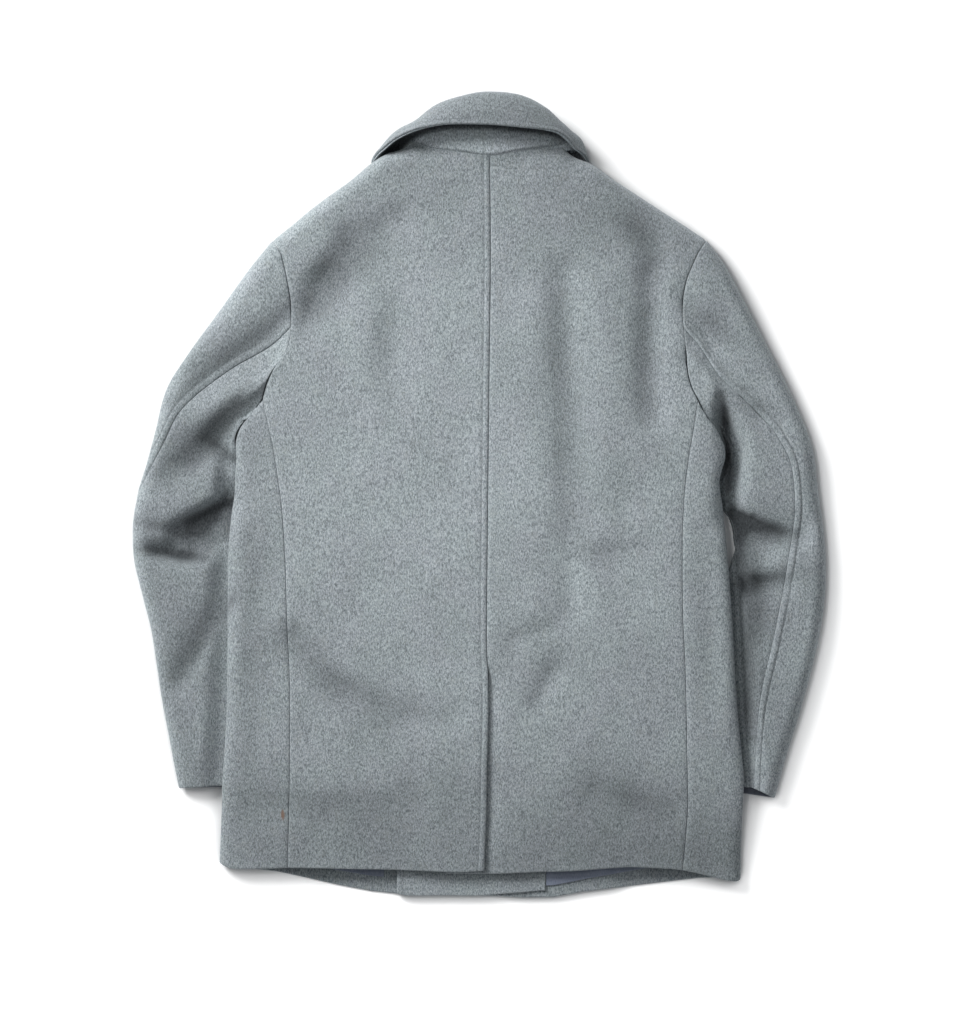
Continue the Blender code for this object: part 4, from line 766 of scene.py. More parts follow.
def grid_normals(points):
    """Normals of a lattice from its own points."""
    return unit(np.cross(np.gradient(points, axis=1), np.gradient(points, axis=0)))


def lattice(surface, side, u, v, up):
    """Points and outward normals of a panel: up is 1 or -1 where it faces up or down, and 0 for a
    side panel, whose first column faces up."""
    points = surface(side, u, v)
    normals = grid_normals(points)
    facing = normals[..., 2].mean() * up if up else normals[:, 0, 2].mean()
    return points, normals if facing > 0 else -normals


def pull_in(points, first, last):
    """Moves the first and the last column of a lattice in by these gaps."""
    moved = points.copy()
    moved[:, 0] += unit(points[:, 1] - points[:, 0]) * first
    moved[:, -1] += unit(points[:, -2] - points[:, -1]) * last
    return moved


def sleeve_places(side, t, start, places, elbow_at, low_at):
    """The places of one sleeve piece's columns at t: its seams wander round the ring, and the
    corners of the ring stay on columns."""
    settle = 1 - smooth_step(t / 0.1)
    elbow = along(ELBOW_SEAM[side], 1, t) + (elbow_at - ELBOW_SEAM[side][0][1]) * settle
    low = along(UNDER_SEAM, 1, t) - UNDER_SEAM[0][1] + low_at
    if start == elbow_at:
        first = 1 - (1 - places) * (1 - elbow) / (1 - elbow_at)
        last = 2 + (places - 2) * (low - 2) / (low_at - 2)
        return np.where(places < 1, first, np.where(places > 2, last, places))
    return low + (elbow + 3 - low) * (places - low_at) / (elbow_at + 3 - low_at)


def collar_sheet(u, v):
    """The middle of the collar: u from its left end to its right, v from neck seam to free edge."""
    *plane, width = rows_at(COLLAR, u)
    neck, turn, free = (np.stack(plane[k:k + 3], axis=-1) for k in (0, 3, 6))
    width, v = width[..., None], v[..., None]
    pull = unit(turn - (neck + free) / 2 + 1e-6)
    across = free - neck
    across = unit(across - (across * pull).sum(-1, keepdims=True) * pull)
    centre = (8 * turn - neck - free) / 6
    first = np.where(width < 0.5, neck + (free - neck) / 3, centre - across * width)
    second = np.where(width < 0.5, neck + (free - neck) * 2 / 3, centre + across * width)
    return ((1 - v) ** 3 * neck + 3 * v * (1 - v) ** 2 * first
            + 3 * v * v * (1 - v) * second + v**3 * free)


# ---------------------------------------------------------------- fine lattices

def subdivide(values, count):
    """Each interval of the values split into count equal ones."""
    place = np.arange((len(values) - 1) * count + 1) / count
    return np.interp(place, np.arange(len(values)), values)


def spread(length, first, last, step=STEP):
    """Shares 0 to 1 of a length: the given distances at both ends and even steps between."""
    low, high = np.asarray(first, float), length - np.asarray(last, float)[::-1]
    count = max(int(round((high[0] - low[-1]) / step)), 2)
    middle = np.linspace(low[-1], high[0], count + 1)[1:-1]
    return np.concatenate([low, middle, high]) / length


def at_way(place, way, values):
    """The points or normals at a place along a way."""
    return np.stack([np.interp(place, way, values[:, k]) for k in range(3)], axis=-1)


def edge_distances(points):
    """Distance along the lattice from its first and last column, then first and last row."""
    result = []
    for axis in (1, 0):
        steps = np.linalg.norm(np.diff(points, axis=axis), axis=-1)
        way = np.insert(np.cumsum(steps, axis=axis), 0, 0, axis=axis)
        result += [way, way.max(axis=axis, keepdims=True) - way]
    return result


def add_object(name, data):
    thing = bpy.data.objects.new(name, data)
    bpy.context.scene.collection.objects.link(thing)
    return thing


def mesh_object(name, verts, faces, slot, attributes=None):
    """A shaded mesh that rides on the coat; verts in millimetres of the drawn sizes."""
    verts = (np.asarray(verts, float) - [*MIDDLE, 0]) * MM
    verts[:, 2] = np.maximum(verts[:, 2], ON_FLOOR * MM)
    mesh = bpy.data.meshes.new(name)
    mesh.from_pydata(verts.tolist(), [], faces)
    mesh.polygons.foreach_set("use_smooth", np.ones(len(mesh.polygons), bool))
    for key, values in (attributes or {}).items():
        kind, field = ("FLOAT", "value") if values.ndim == 1 else ("FLOAT_VECTOR", "vector")
        layer = mesh.attributes.new(key, kind, "POINT")
        layer.data.foreach_set(field, values.astype(np.float32).ravel())
    mesh.materials.append(MATERIALS[slot])
    mesh.update()
    thing = add_object(name, mesh)
    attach(thing, "root")
    return thing


def painted_shade_of(points, normals, shades, sleeve):
    """How much painted shade the cloth gets, coloured darker: in creases, shade chains and patches
    of the cloth that shows.
    """
    x, y, z = np.moveaxis(points, -1, 0)
    laid = np.minimum(crease_depth(CREASES, x, y) / FULL_SHADE, 1) + crease_depth(shades, x, y)
    if sleeve:
        laid = laid + np.minimum(crease_depth(SLEEVE_CREASES, x, y) / SLEEVE_SHADE, 0.65)
    for x0, y0, wide, high, amount in SHADE_PATCHES:
        laid = laid + amount * np.exp(-(((x - x0) / wide) ** 2) - ((y - y0) / high) ** 2)
    above = np.maximum(smooth_step(normals[..., 2] / 0.3), smooth_step((z - 4.5) / 2))
    return np.clip(laid, 0, DARKEST) * above


def quads(index, flip):
    ring = [index[:-1, :-1], index[:-1, 1:], index[1:, 1:], index[1:, :-1]]
    if flip:
        ring[1:] = ring[:0:-1]
    return np.stack([corner.ravel() for corner in ring], axis=1)


def cloth(name, points, normals, wall, slot="wool", seams=(), lines=(), bands=(), shades=None,
          inside=None):
    """A thin shell with round edges under a lattice of its outer face.

    seams: which edges (0 first column, 1 last column, 2 first row, 3 last row) are sewn and dip.
    lines: (edge, distance) of topstitching. bands: (edge, width, height) of raised seam allowance.
    shades: chains of painted shade, where the cloth is coloured darker. inside: a sleeve's lining,
    shown near its cuff.
    """
    shape = rows, columns = points.shape[:2]
    edges = edge_distances(points)
    drop = np.zeros(shape)
    for edge in seams:
        drop += SEAM_DROP * np.exp(-((edges[edge] / SEAM_WIDTH) ** 2))
    line = np.full(shape, NO_LINE)
    for edge, distance in lines:
        away = np.abs(edges[edge] - distance)
        drop += LINE_DROP * np.exp(-((away / LINE_WIDTH) ** 2))
        line = np.minimum(line, away)
    for edge, width, height in bands:
        drop -= height * smooth_step((width - edges[edge]) / 1.6 + 0.5)
    half = wall / 2
    nearest = np.minimum.reduce(edges)
    share = np.clip(nearest / half, 0, 1)
    height = half * np.sqrt(1 - (1 - share) ** 2)
    middle = points - half * normals
    outer = middle + (height - drop * share)[..., None] * normals
    inner = middle - height[..., None] * normals
    # Both layers share the points of the border, which closes the shell.
    free = np.zeros(shape, bool)
    free[1:-1, 1:-1] = True
    outer[~free] = middle[~free]
    index_out = np.arange(rows * columns).reshape(shape)
    index_in = index_out.copy()
    index_in[free] = rows * columns + np.arange(free.sum())
    verts = np.concatenate([outer.reshape(-1, 3), inner[free]])
    # The outer faces look along the normals.
    r, c = rows // 2, columns // 2
    across, up = points[r, c + 1] - points[r, c], points[r + 1, c] - points[r, c]
    flip = np.cross(across, up) @ normals[r, c] < 0
    faces = np.concatenate([quads(index_out, flip), quads(index_in, not flip)])
    wear = np.exp(-nearest / 2.2)
    attributes = {
        "cloth": verts * MM + 0.013 * (sum(map(ord, name)) % 97),
        "wear": np.concatenate([wear.ravel(), wear[free]]),
        "line": np.concatenate([line.ravel(), np.full(free.sum(), NO_LINE)]) * MM,
    }
    # Painted shade: how much darker the cloth is coloured in creases, shade chains and patches
    if shades is not None:
        laid = painted_shade_of(points, normals, shades, inside)
        attributes["laid"] = np.concatenate([laid.ravel(), laid[free]])
    thing = mesh_object(name, verts, faces.tolist(), slot, attributes)
    if inside:
        thing.data.materials.append(MATERIALS[inside])
        # Only the last part, at the cuff, shows the lining, in its darker copy of the satin:
        # painted shade.
        row = np.arange(len(faces) // 2) // (columns - 1)
        layer = np.concatenate([np.zeros(len(row)), row > LINED_FROM * rows]).astype(np.int32)
        thing.data.polygons.foreach_set("material_index", layer)
    lattice_store[name] = (points - drop[..., None] * normals, normals, edges)
    return thing


def line_on(name, edge, distance, end=1):
    """Points and normals of a piece at a distance from its first or last column, up to a share of
    its length."""
    points, normals, edges = lattice_store[name]
    result = []
    for row, measure in enumerate(edges[edge]):
        if measure.max() >= distance:
            order = np.argsort(measure)
            result.append([at_way(distance, measure[order], values[row, order])
                           for values in (points, normals)])
    points, normals = np.swapaxes(result, 0, 1)
    keep = int(round(end * (len(points) - 1))) + 1
    return points[:keep], unit(normals)[:keep]


def stitches(name, runs, seed):
    """Thread over the cloth: short rounded stitches along each run of points and normals."""
    rng = np.random.default_rng(seed)
    verts, faces = [], []
    sides = STITCH_SIDES
    for points, normals in runs:
        steps = np.linalg.norm(np.diff(points, axis=0), axis=1)
        way = np.concatenate([[0], np.cumsum(steps)])
        place = STITCH_PITCH / 2
        while place < way[-1] - STITCH_PITCH / 2:
            spot = at_way(place, way, points)
            forward = unit(at_way(place + 0.6, way, points) - spot)
            normal = at_way(place, way, normals)
            normal = unit(normal - forward * (normal @ forward))
            sideways = np.cross(normal, forward)
            forward = unit(forward + sideways * rng.uniform(-0.06, 0.06))
            base = len(verts)
            length = STITCH_LENGTH * rng.uniform(0.92, 1.06)
            for share, wide in STITCH_PROFILE:
                middle = spot + forward * share * length + normal * (0.12 - 1.2 * share**2)
                for angle in np.arange(sides) * 2 * np.pi / sides:
                    offset = sideways * np.cos(angle) + normal * np.sin(angle) * 0.8
                    verts.append(middle + offset * STITCH_RADIUS * wide)
            for ring in range(base, len(verts) - sides, sides):
                for k in range(sides):
                    a, b = ring + k, ring + (k + 1) % sides
                    faces.append((a, b, b + sides, a + sides))
            faces.append(tuple(range(base + sides - 1, base - 1, -1)))
            faces.append(tuple(range(len(verts) - sides, len(verts))))
            place += STITCH_PITCH * rng.uniform(0.97, 1.03)
    return mesh_object(name, verts, faces, "thread")


# ---------------------------------------------------------------- materials

def feed(tree, socket, value):
    """Links an output to a socket, or sets the socket to a number or colour."""
    if hasattr(value, "links"):
        tree.links.new(value, socket)
    else:
        socket.default_value = value


def node(tree, kind, **inputs):
    made = tree.nodes.new(kind)
    for key, value in inputs.items():
        feed(tree, made.inputs[key.replace("_", " ")], value)
    return made


def noise_of(tree, vector, scale, detail, rough, seed=0):
    """A noise texture on stretched cloth coordinates."""
    place = node(tree, "ShaderNodeMapping", Vector=vector, Scale=scale,
                 Location=(seed, seed * 1.7, seed * 0.3)).outputs["Vector"]
    texture = node(tree, "ShaderNodeTexNoise", Vector=place, Scale=1, Detail=detail,
                   Roughness=rough)
    return texture.outputs["Fac"]


def ramp_of(tree, value, low, high, start=0, end=1):
    made = node(tree, "ShaderNodeMapRange", Value=value, From_Min=low, From_Max=high,
                To_Min=start, To_Max=end)
    made.interpolation_type = "SMOOTHSTEP"
    return made.outputs["Result"]


def mix_of(tree, factor, first, second, blend="MIX"):
    made = tree.nodes.new("ShaderNodeMix")
    made.data_type, made.blend_type = "RGBA", blend
    for place, value in ((0, factor), (6, first), (7, second)):
        feed(tree, made.inputs[place], value)
    return made.outputs[2]


def math_of(tree, kind, first, second):
    made = tree.nodes.new("ShaderNodeMath")
    made.operation = kind
    feed(tree, made.inputs[0], first)
    feed(tree, made.inputs[1], second)
    return made.outputs[0]


def attribute_of(tree, name, output):
    made = tree.nodes.new("ShaderNodeAttribute")
    made.attribute_name = name
    return made.outputs[output]


def position_of(tree):
    return tree.nodes.new("ShaderNodeNewGeometry").outputs["Position"]


def new_material(name):
    made = bpy.data.materials.new(name)
    made.use_nodes = True
    return made, made.node_tree


def set_shader(tree, **values):
    for key, value in values.items():
        feed(tree, tree.nodes["Principled BSDF"].inputs[key.replace("_", " ")], value)


def finish_material(made, base, height, strength, distance, **values):
    """Gives the material's shader its colour, its bumps and its other values."""
    tree = made.node_tree
    bump = node(tree, "ShaderNodeBump", Height=height, Strength=strength, Distance=distance)
    set_shader(tree, Base_Color=base, Normal=bump.outputs["Normal"], **values)
    return made


def wool_material(name, shade=1):
    """Heathered melton: long fibres of several greys, a short nap, seams and stitch lines, and
    painted shade where the point attribute asks for it.
    """
    made, tree = new_material(name)
    place = attribute_of(tree, "cloth", "Vector")
    streaks = noise_of(tree, place, (720, 330, 720), 3, 0.68)
    fibres = noise_of(tree, place, (1450, 470, 1450), 2, 0.6, 5)
    clumps = noise_of(tree, place, (150, 95, 150), 2, 0.5, 9)
    broad = noise_of(tree, place, (16, 12, 20), 3, 0.5, 13)
    hue = noise_of(tree, place, (26, 20, 20), 2, 0.5, 21)
    dark, light, fleck, warm = ([part * shade for part in colour] + [1] for colour in WOOL_COLOURS)
    base = mix_of(tree, ramp_of(tree, streaks, 0.26, 0.74), dark, light)
    base = mix_of(tree, ramp_of(tree, fibres, 0.54, 0.72, 0, 0.8), base, fleck)
    base = mix_of(tree, ramp_of(tree, fibres, 0.48, 0.22, 0, 0.5), base, dark)
    base = mix_of(tree, ramp_of(tree, clumps, 0.52, 0.75, 0, 0.25), base, warm)
    base = mix_of(tree, 1, base, ramp_of(tree, broad, 0.3, 0.7, 0.93, 1.05), "MULTIPLY")
    tint = mix_of(tree, ramp_of(tree, hue, 0.35, 0.65), *WOOL_TINTS)
    base = mix_of(tree, 1, base, tint, "MULTIPLY")
    worn = math_of(tree, "MULTIPLY", attribute_of(tree, "wear", "Fac"), 0.1)
    base = mix_of(tree, worn, base, light)
    # Painted shade: the colour is mixed towards a dark tint by the amount in the point attribute
    laid = math_of(tree, "MULTIPLY", attribute_of(tree, "laid", "Fac"), 1 / DARKEST)
    base = mix_of(tree, laid, base, mix_of(tree, 1, base, PAINTED_SHADE_TINT, "MULTIPLY"))
    groove = ramp_of(tree, attribute_of(tree, "line", "Fac"), 0, 0.001, 1, 0)
    base = mix_of(tree, math_of(tree, "MULTIPLY", groove, 0.6), base, dark)
    if name == "wool":
        spot = node(tree, "ShaderNodeMapping", Vector=position_of(tree), Location=STAIN_SHIFT,
                    Scale=STAIN_SCALE)
        away = tree.nodes.new("ShaderNodeVectorMath")
        away.operation = "LENGTH"
        tree.links.new(spot.outputs["Vector"], away.inputs[0])
        ragged = math_of(tree, "ADD", away.outputs["Value"],
                         math_of(tree, "MULTIPLY", streaks, 0.9))
        base = mix_of(tree, ramp_of(tree, ragged, 0.85, 1.6, 0.8, 0), base, STAIN_COLOUR)
    height = math_of(tree, "ADD", math_of(tree, "MULTIPLY", streaks, 0.6),
                     math_of(tree, "MULTIPLY", fibres, 0.5))
    height = math_of(tree, "SUBTRACT", height, math_of(tree, "MULTIPLY", groove, 0.5))
    return finish_material(made, base, height, 0.55, 0.0006, Roughness=0.95,
                           Specular_IOR_Level=0.18, Sheen_Weight=0.35, Sheen_Roughness=0.6,
                           Sheen_Tint=(0.85, 0.92, 0.95, 1))


def satin_material(name, shade=1):
    """Blue-grey lining: fine weave, long soft gleam."""
    made, tree = new_material(name)
    place = attribute_of(tree, "cloth", "Vector")
    threads = noise_of(tree, place, (2600, 240, 2600), 2, 0.5)
    broad = noise_of(tree, place, (30, 18, 20), 3, 0.5, 4)
    base = mix_of(tree, ramp_of(tree, threads, 0.3, 0.7), *SATIN_COLOURS)
    tone = ramp_of(tree, broad, 0.3, 0.7, 0.9 * shade, 1.08 * shade)
    base = mix_of(tree, 1, base, tone, "MULTIPLY")
    return finish_material(made, base, threads, 0.25, 0.0003, Roughness=0.38, Anisotropic=0.4,
                           Sheen_Weight=0.15)


def thread_material():
    made, tree = new_material("thread")
    twist = noise_of(tree, position_of(tree), (1800, 1800, 1800), 2, 0.5)
    base = mix_of(tree, ramp_of(tree, twist, 0.35, 0.65), *THREAD_COLOURS)
    return finish_material(made, base, twist, 0.4, 0.0002, Roughness=0.6, Sheen_Weight=0.2)


def horn_material():
    made, tree = new_material("horn")
    streaks = noise_of(tree, position_of(tree), (140, 420, 200), 5, 0.6)
    base = mix_of(tree, ramp_of(tree, streaks, 0.35, 0.7), *HORN_COLOURS)
    return finish_material(made, base, streaks, 0.15, 0.0003,
                           Roughness=ramp_of(tree, streaks, 0.3, 0.7, 0.25, 0.45))


MATERIALS = {
    "wool": wool_material("wool"),
    # A lighter copy of the wool for the collar stand: painted light where it lies under the fall
    "wool_stand_painted_light": wool_material("wool_stand_painted_light", 1.35),
    # A darker copy of the wool for the fronts: painted shade on their strip below the back's hem
    "wool_inside": wool_material("wool_inside", 0.9),
    "satin": satin_material("satin"),
    # A darker copy of the satin for the sleeves' insides: painted shade in the cuffs
    "satin_sleeve_painted_shade": satin_material("satin_sleeve_painted_shade", 0.4),
    "thread": thread_material(),
    "horn": horn_material(),
}


# ---------------------------------------------------------------- body

def fine_back(side, word):
    v_turn = 1 + spread(BACK_TURN, [0], RIM[:-1], 2.2)[1:] * TURN_END
    v = np.concatenate([spread(BACK_LENGTH, WIDE_RIM, [2]), v_turn])
    inner, outer = (back_point(side, np.full(len(v), end), v)[:, :2] for end in (0.0, 1.0))
    width = np.linalg.norm(outer - inner, axis=-1)[:, None]
    share = spread(BACK_WIDTH, NEAR_LINE, WIDE_RIM)
    distance = share * BACK_WIDTH
    # Edge distances stay true while the middle stretches with the panel's width.
    low, high = len(NEAR_LINE), len(share) - len(WIDE_RIM)
    u = np.empty((len(v), len(share)))
    u[:, :low] = distance[:low] / width
    u[:, high:] = 1 - (BACK_WIDTH - distance[high:]) / width
    middle = (share[low:high] - share[low - 1]) / (share[high] - share[low - 1])
    u[:, low:high] = u[:, low - 1:low] + (u[:, high:high + 1] - u[:, low - 1:low]) * middle
    rows = np.repeat(v[:, None], len(share), axis=1)
    points, normals = lattice(back_point, side, u, rows, 1)
    stitched = side == LEFT
    piece = cloth("back_cloth_" + word, pull_in(points, SEAM_GAP / 2, SEAM_GAP / 2), normals, WALL,
                  seams=(0, 1, 3), lines=((0, TOPSTITCH),) * stitched,
                  bands=((0, TOPSTITCH, BAND_HEIGHT),) * stitched, shades=BACK_SHADES)
    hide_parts("back_" + word)


def fine_side(side, word):
    above, turn, below = SIDE_WIDTHS
    u = np.concatenate([spread(above, RIM, [1.5]), 1 + spread(turn, [0], [0], 1.8)[1:],
                        2 + spread(below, [0], RIM)[1:]])
    v = spread(SIDE_LENGTH, WIDE_RIM, WIDE_RIM)
    points, normals = lattice(side_point, side, *np.meshgrid(u, v), 0)
    piece = cloth("side_cloth_" + word, pull_in(points, SEAM_GAP / 2, SEAM_GAP / 2), normals, WALL,
                  seams=(0, 1, 3), shades=())
    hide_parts("side_" + word)


def fine_front(side, word):
    v_turn = 1 + spread(FRONT_TURN, [0], RIM[:-1])[1:] * TURN_END
    v = np.concatenate([spread(FRONT_LENGTH, WIDE_RIM + [6.2, 8.6], [3], 5), v_turn])
    u = spread(FRONT_WIDTH, WIDE_RIM, WIDE_RIM, 5)
    points, normals = lattice(front_point, side, *np.meshgrid(u, v), -1)
    points = pull_in(points, SEAM_GAP / 2, 0)
    piece = cloth("front_cloth_" + word, points, normals, WALL, "wool_inside", seams=(0, 3),
                  lines=((1, TOPSTITCH),))
    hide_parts("front_" + word)
    return points, normals, u, v


def lay_over(name, slot, front, u_from, u_to, v_from, v_to, wall, nodes, lines=(), rise=0, span=1):
    """A facing or lining on the inner face of a front, between two shares each way. Its lower edge
    rises by so many millimetres to its first column, within that span of its width."""
    points, normals, u, v = front
    wide, high = u_to - u_from, v_to - v_from
    us = u_from + wide * spread(wide * FRONT_WIDTH, RIM, RIM, 4)
    vs = v_from + high * spread(high * FRONT_LENGTH, RIM, RIM, 4)
    grid_u, grid_v = np.meshgrid(us, vs)
    lift = rise / FRONT_CUT * smooth_step(1 - (grid_u - u_from) / wide / span)
    grid_v = grid_v + lift * (v_to - grid_v) / high
    iu = np.clip(np.searchsorted(u, grid_u, side="right") - 1, 0, len(u) - 2)
    iv = np.clip(np.searchsorted(v, grid_v, side="right") - 1, 0, len(v) - 2)
    fu = ((grid_u - u[iu]) / (u[iu + 1] - u[iu]))[..., None]
    fv = ((grid_v - v[iv]) / (v[iv + 1] - v[iv]))[..., None]

    def sample(values):
        low, high = (values[j, iu] * (1 - fu) + values[j, iu + 1] * fu for j in (iv, iv + 1))
        return low * (1 - fv) + high * fv

    inward = -unit(sample(normals))
    top = sample(points) + (WALL + LAYER_GAP + wall) * inward
    piece = cloth(name, top, inward, wall, slot, lines=lines)
    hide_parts(*nodes)


# ---------------------------------------------------------------- sleeves

def junction_of(armhole, start):
    """Share of a panel's outer edge, from its start at the hem, at which the armhole begins."""
    return (armhole[0][0] - start) / (armhole[-1][0] - start)


def fine_armhole(side):
    """The body's edge round the armhole in small steps, with the solids' own places."""
    def rows_of(armhole, start):
        rows = np.linspace(junction_of(armhole, start), 1, ARMHOLE_ROWS + 1)
        return subdivide([*rows, *TURN_ROWS], ARM_SPLIT)

    def edge_of(surface, us, vs, up, *pick):
        both = np.stack(lattice(surface, side, *np.meshgrid(us, vs), up))
        return both[(slice(None), *pick)]

    back_rows = rows_of(ARMHOLE_BACK[side], HEM_BACK[side][-1][1])
    front_rows = rows_of(ARMHOLE_FRONT[side], SIDE_ENDS[side][-1][1])
    around = subdivide(SIDE_PLACES, ARM_SPLIT)
    back = edge_of(back_point, [0.9, 0.95, 1], back_rows, 1, slice(None), -1)
    beside = edge_of(side_point, around, [0.96, 0.98, 1], 0, -1)
    front = edge_of(front_point, [0, 0.04, 0.08], front_rows, -1, slice(None), 0)
    points, normals = np.concatenate([back[:, ::-1], beside[:, 1:], front[:, 1:]], axis=1)
    over = ARMHOLE_ROWS + len(TURN_ROWS)
    count = 2 * over + len(SIDE_PLACES)
    corners = [0, over + SIDE_PLACES.index(1.5), over + SIDE_PLACES.index(2.5), count]
    places = np.interp(np.arange(count), corners, range(4))
    return points, normals, subdivide(places, ARM_SPLIT)


def nearest_index(places, wanted):
    """Index of the solids' own place that is nearest to the wanted one."""
    return ARM_SPLIT * int(np.argmin(np.abs(places[::ARM_SPLIT] - wanted)))


def relax(points, centre, stations):
    """Smooths the lattice near the armpit, where the ring is tightly curved."""
    (x, y), (wide, high) = centre, ARMPIT_SIZE
    near = np.exp(-(((points[..., 0] - x) / wide) ** 2) - ((points[..., 1] - y) / high) ** 2)
    share = near * smooth_step((points[..., 2] - 7) / 3) * smooth_step(stations / 0.012)[:, None]
    share = share[1:-1, 1:-1, None] / 2
    for _ in range(RELAX_ROUNDS):
        mean = (points[:-2, 1:-1] + points[2:, 1:-1] + points[1:-1, :-2] + points[1:-1, 2:]) / 4
        points[1:-1, 1:-1] += share * (mean - points[1:-1, 1:-1])


def fine_sleeve(side, word):
    edge, edge_n, places = fine_armhole(side)
    stations = spread(SLEEVE_LENGTH, SLEEVE_RIM, WIDE_RIM, 2.2)
    flat_ring = sleeve_ring(side, np.zeros(len(places)), places)
    next_ring = sleeve_ring(side, np.full(len(places), 0.06), places)
    away = unit(np.cross(edge_n, np.gradient(edge, axis=0)))
    if (away * (next_ring - flat_ring)).sum() < 0:
        away = -away
    gap = SEAM_GAP + 0.4 * smooth_step((places - 0.6) / 0.3)[:, None]
    shift = edge + gap * away - flat_ring
    hidden = smooth_step((places - 0.66) / 0.14) * smooth_step((2.45 - places) / 0.3)
    sink = (3.4 + ARMPIT_SINK[side] * smooth_step((places - 1) / 0.15)) * hidden
    shift[:, 2] -= np.minimum(sink, np.maximum(edge[:, 2] - 5, 3.4))
    elbow, low = (nearest_index(places, table[0][1]) for table in (ELBOW_SEAM[side], UNDER_SEAM))
    under_part = [*range(elbow, low + 1)]
    upper_part = [*range(low, len(places)), *range(elbow + 1)]
    for name, part in (("undersleeve_", under_part), ("topsleeve_", upper_part)):
        here = places[part] + np.where(np.array(part) < part[0], 3, 0)
        near_seam = np.array([0, 0.1, 0.3, 0.6])
        columns = np.concatenate([here[0] + (here[1] - here[0]) * near_seam, here[1:-1],
                                  here[-1] - (here[-1] - here[-2]) * near_seam[::-1]])
        moves = at_way(columns, here, shift[part])
        points = np.empty((len(stations), len(columns), 3))
        centres = np.empty((len(stations), 1, 3))
        for row, t in enumerate(stations):
            place = sleeve_places(side, t, here[0], columns, places[elbow], places[low])
            ring = sleeve_ring(side, np.full(len(columns), t), place)
            points[row] = ring + moves * (1 - smooth_step(t / 0.3))
            centres[row] = sleeve_ring(side, np.full(30, t), np.linspace(0, 3, 30)).mean(axis=0)
        x, y, z = np.moveaxis(points, -1, 0)
        upper = smooth_step((z - 8) / 4) * smooth_step(stations / 0.02)[:, None]
        change = -crease_depth(SLEEVE_CREASES, x, y)
        if name == "undersleeve_":
            change = change + LIFT_SIGN[side] * crease(ARMPIT_LIFT[side], x, y)
        # The cuff's lower layer is pushed down a little, so its inside shows.
        lower = smooth_step((11 - z) / 4) * smooth_step((stations - 0.93) / 0.07)[:, None]
        drop, outer, run = CUFF_DROP[side]
        points[..., 1] -= drop * lower * np.clip((outer - side * x) / run, 0, 1.2)
        # No deeper than the sleeve's lower layer.
        points[..., 2] = np.maximum(z + upper * change, np.minimum(z, 7))
        relax(points, ARMPIT[side], stations)
        normals = grid_normals(points)
        if (normals[8:] * (points - centres)[8:]).sum() < 0:
            normals = -normals
        points = pull_in(points, SEAM_GAP / 2, SEAM_GAP / 2)
        # The seam at the elbow is topstitched on the topsleeve's side.
        stitched = name == "topsleeve_"
        piece = cloth(name + "cloth_" + word, points, normals, WALL, seams=(0, 1, 2),
                      lines=((1, ELBOW_STITCH),) * stitched,
                      bands=((1, ELBOW_STITCH, BAND_HEIGHT),) * stitched,
                      shades=SLEEVE_SHADES, inside="satin_sleeve_painted_shade")
        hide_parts(name + word)


# ---------------------------------------------------------------- collar

def lay_painted_shade(piece, amount):
    """Sets the painted shade on the outer face, whose points come first: how much darker it is
    coloured.
    """
    laid = np.zeros(len(piece.data.vertices), np.float32)
    laid[:amount.size] = amount.ravel()
    piece.data.attributes.new("laid", "FLOAT", "POINT").data.foreach_set("value", laid)


def fine_collar():
    u = spread(COLLAR_LENGTH, RIM, RIM)
    v = spread(COLLAR_WIDTH, RIM, WIDE_RIM + [6, 8], 2.6)
    middle = collar_sheet(*np.meshgrid(u, v))
    # The stand's lower edge runs on below the back's neck edge.
    under = middle[0] + np.array(COLLAR_TUCK)[:, None, None] * unit([0, -1, -0.42]) + [0, 0, -1.6]
    under[..., 2] = np.maximum(under[..., 2], TUCK_LOWEST)
    middle = np.concatenate([under, middle])
    normals = grid_normals(middle)
    if normals[-1, len(u) // 2, 2] < 0:
        normals = -normals
    offset = (SEAM_GAP / 2 + COLLAR_WALL) * normals
    upper, lower = middle + offset, middle - offset
    rows, columns = upper.shape[:2]
    piece = cloth("collar_top_cloth", upper, normals, COLLAR_WALL, lines=((3, COLLAR_STITCH),))
    # Painted shade: the fall, the upper half of the collar, is coloured darker
    lay_painted_shade(piece, np.repeat(0.62 * smooth_step((np.arange(rows) / rows - 0.45) / 0.2), columns))
    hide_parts("collar_top")
    piece = cloth("collar_under_cloth", lower, -normals, COLLAR_WALL, "wool_stand_painted_light")
    # Painted shadow: the stand is coloured darker below the fall's edge; it is also darker along
    # its seam.
    shadow = smooth_step(1 - (lower[-1, :, 1] - lower[..., 1]) / 8)
    seam = np.exp(-((np.linalg.norm(lower - lower[len(COLLAR_TUCK)], axis=-1) / 1.5) ** 2))
    lay_painted_shade(piece, np.maximum(DARKEST * shadow, 0.9 * seam))
    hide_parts("collar_under")


# ---------------------------------------------------------------- build

for side, word in ((LEFT, "left"), (RIGHT, "right")):
    fine_back(side, word)
    fine_side(side, word)
    front = fine_front(side, word)
    shares = [*np.linspace(0, FRONT_SHOULDER_SHARE, SHOULDER_COLUMNS + 1), *FRONT_PLACES]
    start, end = SIDE_ENDS[side][-1][1], ARMHOLE_FRONT[side][-1][0]
    junction = junction_of(ARMHOLE_FRONT[side], start)
    lining_top = junction * (LOW_ROWS - 4) / (LOW_ROWS - 1)
    hem_turn = (HEM_TURN - LINING_LOWER[side]) / (end - start)
    lay_over("lining_cloth_" + word, "satin", front, shares[1], shares[LINING_END[side]] - 0.002,
             hem_turn, lining_top, LINING_WALL, ["lining_" + word], rise=LINING_RISE[side])
    if side == RIGHT:
        facing_top = junction + (1 - junction) * (ARMHOLE_ROWS - 2) / ARMHOLE_ROWS
        lay_over("facing_cloth_right", "wool", front, shares[FACING_COLUMN], 1, 0, facing_top,
                 FACING_WALL, ["facing_right"], lines=((1, TOPSTITCH),), rise=FACING_RISE, span=0.5)
    fine_sleeve(side, word)
fine_collar()

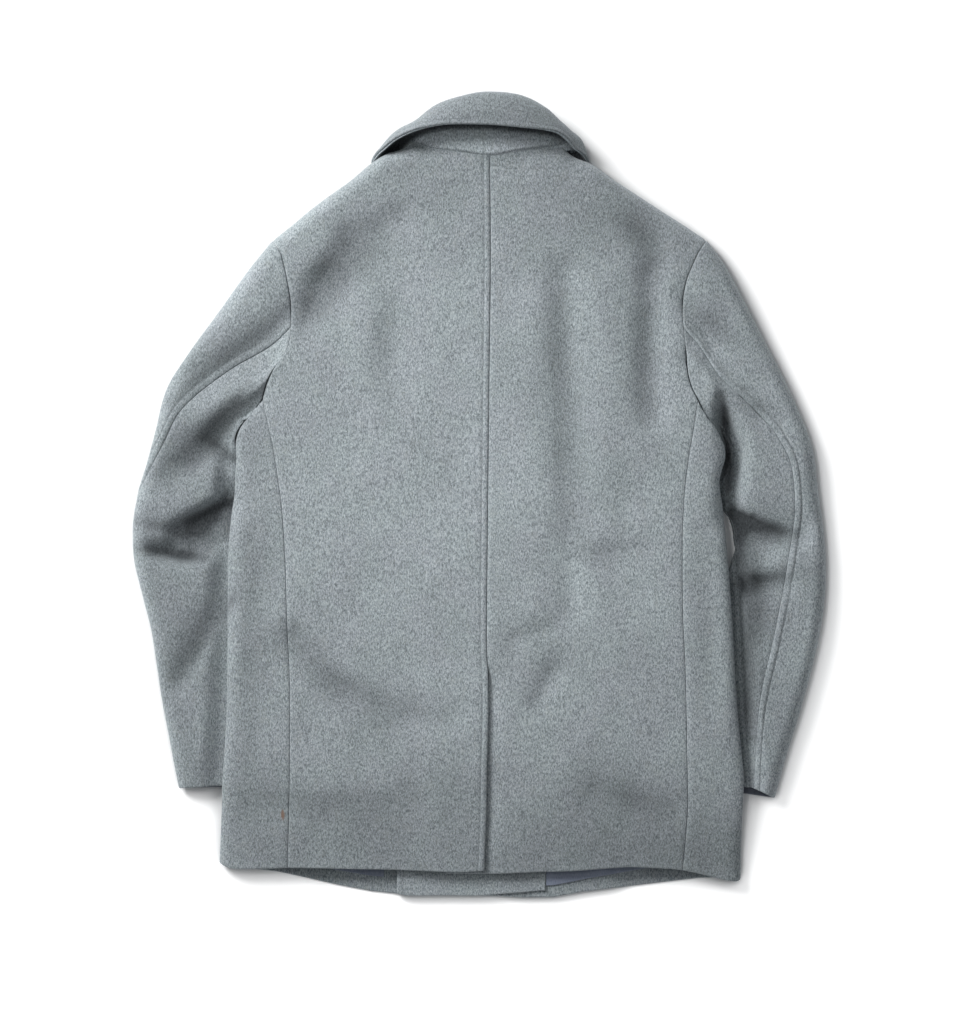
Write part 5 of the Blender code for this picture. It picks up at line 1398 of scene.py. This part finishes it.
points, normals, edges = lattice_store["back_cloth_left"]
row = int(np.argmin(np.abs(points[:VENT_ROWS, 0, 1] - VENT_STITCH_Y)))
bar = slice(3, int(np.searchsorted(edges[0][row], VENT_STITCH_LENGTH)))
runs = [line_on("back_cloth_left", 0, TOPSTITCH, 0.94), (points[row, bar], normals[row, bar])]
sewn = {"back_cloth_left": [stitches("stitches_back", runs, 21)]}
for seed, word in ((22, "left"), (23, "right")):
    run = line_on("topsleeve_cloth_" + word, 1, ELBOW_STITCH)
    sewn["topsleeve_cloth_" + word] = [stitches("stitches_elbow_" + word, [run], seed)]
for seed, name in ((24, "facing_cloth_right"), (25, "front_cloth_left")):
    run = line_on(name, 1, TOPSTITCH)
    sewn[name] = [stitches("stitches_" + name, [run], seed)]

for name, width, length, area, under in CUTS:
    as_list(sewn.get(name, ()))

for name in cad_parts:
    if name.startswith("button"):
        thing = bpy.data.objects[name]
        thing.data.materials.clear()
        thing.data.materials.append(MATERIALS["horn"])


# ---------------------------------------------------------------- stage

def stage():
    half = FLOOR_HALF
    mesh = bpy.data.meshes.new("floor")
    corners = [(-half, -half, 0), (half, -half, 0), (half, half, 0), (-half, half, 0)]
    mesh.from_pydata(corners, [], [(0, 1, 2, 3)])
    paper, tree = new_material("floor")
    # Painted contact shadow: the floor's glow fades where the coat is near
    near = node(tree, "ShaderNodeAmbientOcclusion", Distance=0.07)
    glow = ramp_of(tree, near.outputs["AO"], 0.5, 1, 0, FLOOR_GLOW)
    set_shader(tree, Base_Color=(0.9, 0.9, 0.9, 1), Roughness=0.9, Emission_Color=(1, 1, 1, 1),
               Emission_Strength=glow)
    mesh.materials.append(paper)
    floor = add_object("floor", mesh)
    scene = bpy.context.scene
    scene.world = bpy.data.worlds.new("studio")
    scene.world.use_nodes = True
    background = scene.world.node_tree.nodes["Background"]
    background.inputs["Color"].default_value = (0.94, 0.97, 1, 1)
    background.inputs["Strength"].default_value = WORLD_STRENGTH
    for name, kind, place, aim, size, power in LIGHTS:
        data = bpy.data.lights.new(name, kind)
        data.energy = power
        if kind == "AREA":
            data.shape = "DISK"
            data.size = size
        else:
            data.spot_size = size
            data.spot_blend = 1
            data.shadow_soft_size = SPOT_RADIUS
        light = add_object(name, data)
        light.location = place
        light.rotation_mode = "QUATERNION"
        light.rotation_quaternion = (Vector(aim) - light.location).to_track_quat("-Z", "Y")
    data = bpy.data.cameras.new("camera")
    data.sensor_width = SENSOR
    data.lens = SENSOR * CAMERA_HEIGHT / FRAME_HEIGHT
    scene.camera = add_object("camera", data)
    scene.camera.location = (CAMERA_X, CAMERA_Y, CAMERA_HEIGHT + CAMERA_PLANE)
    scene.view_settings.view_transform = "Standard"


stage()
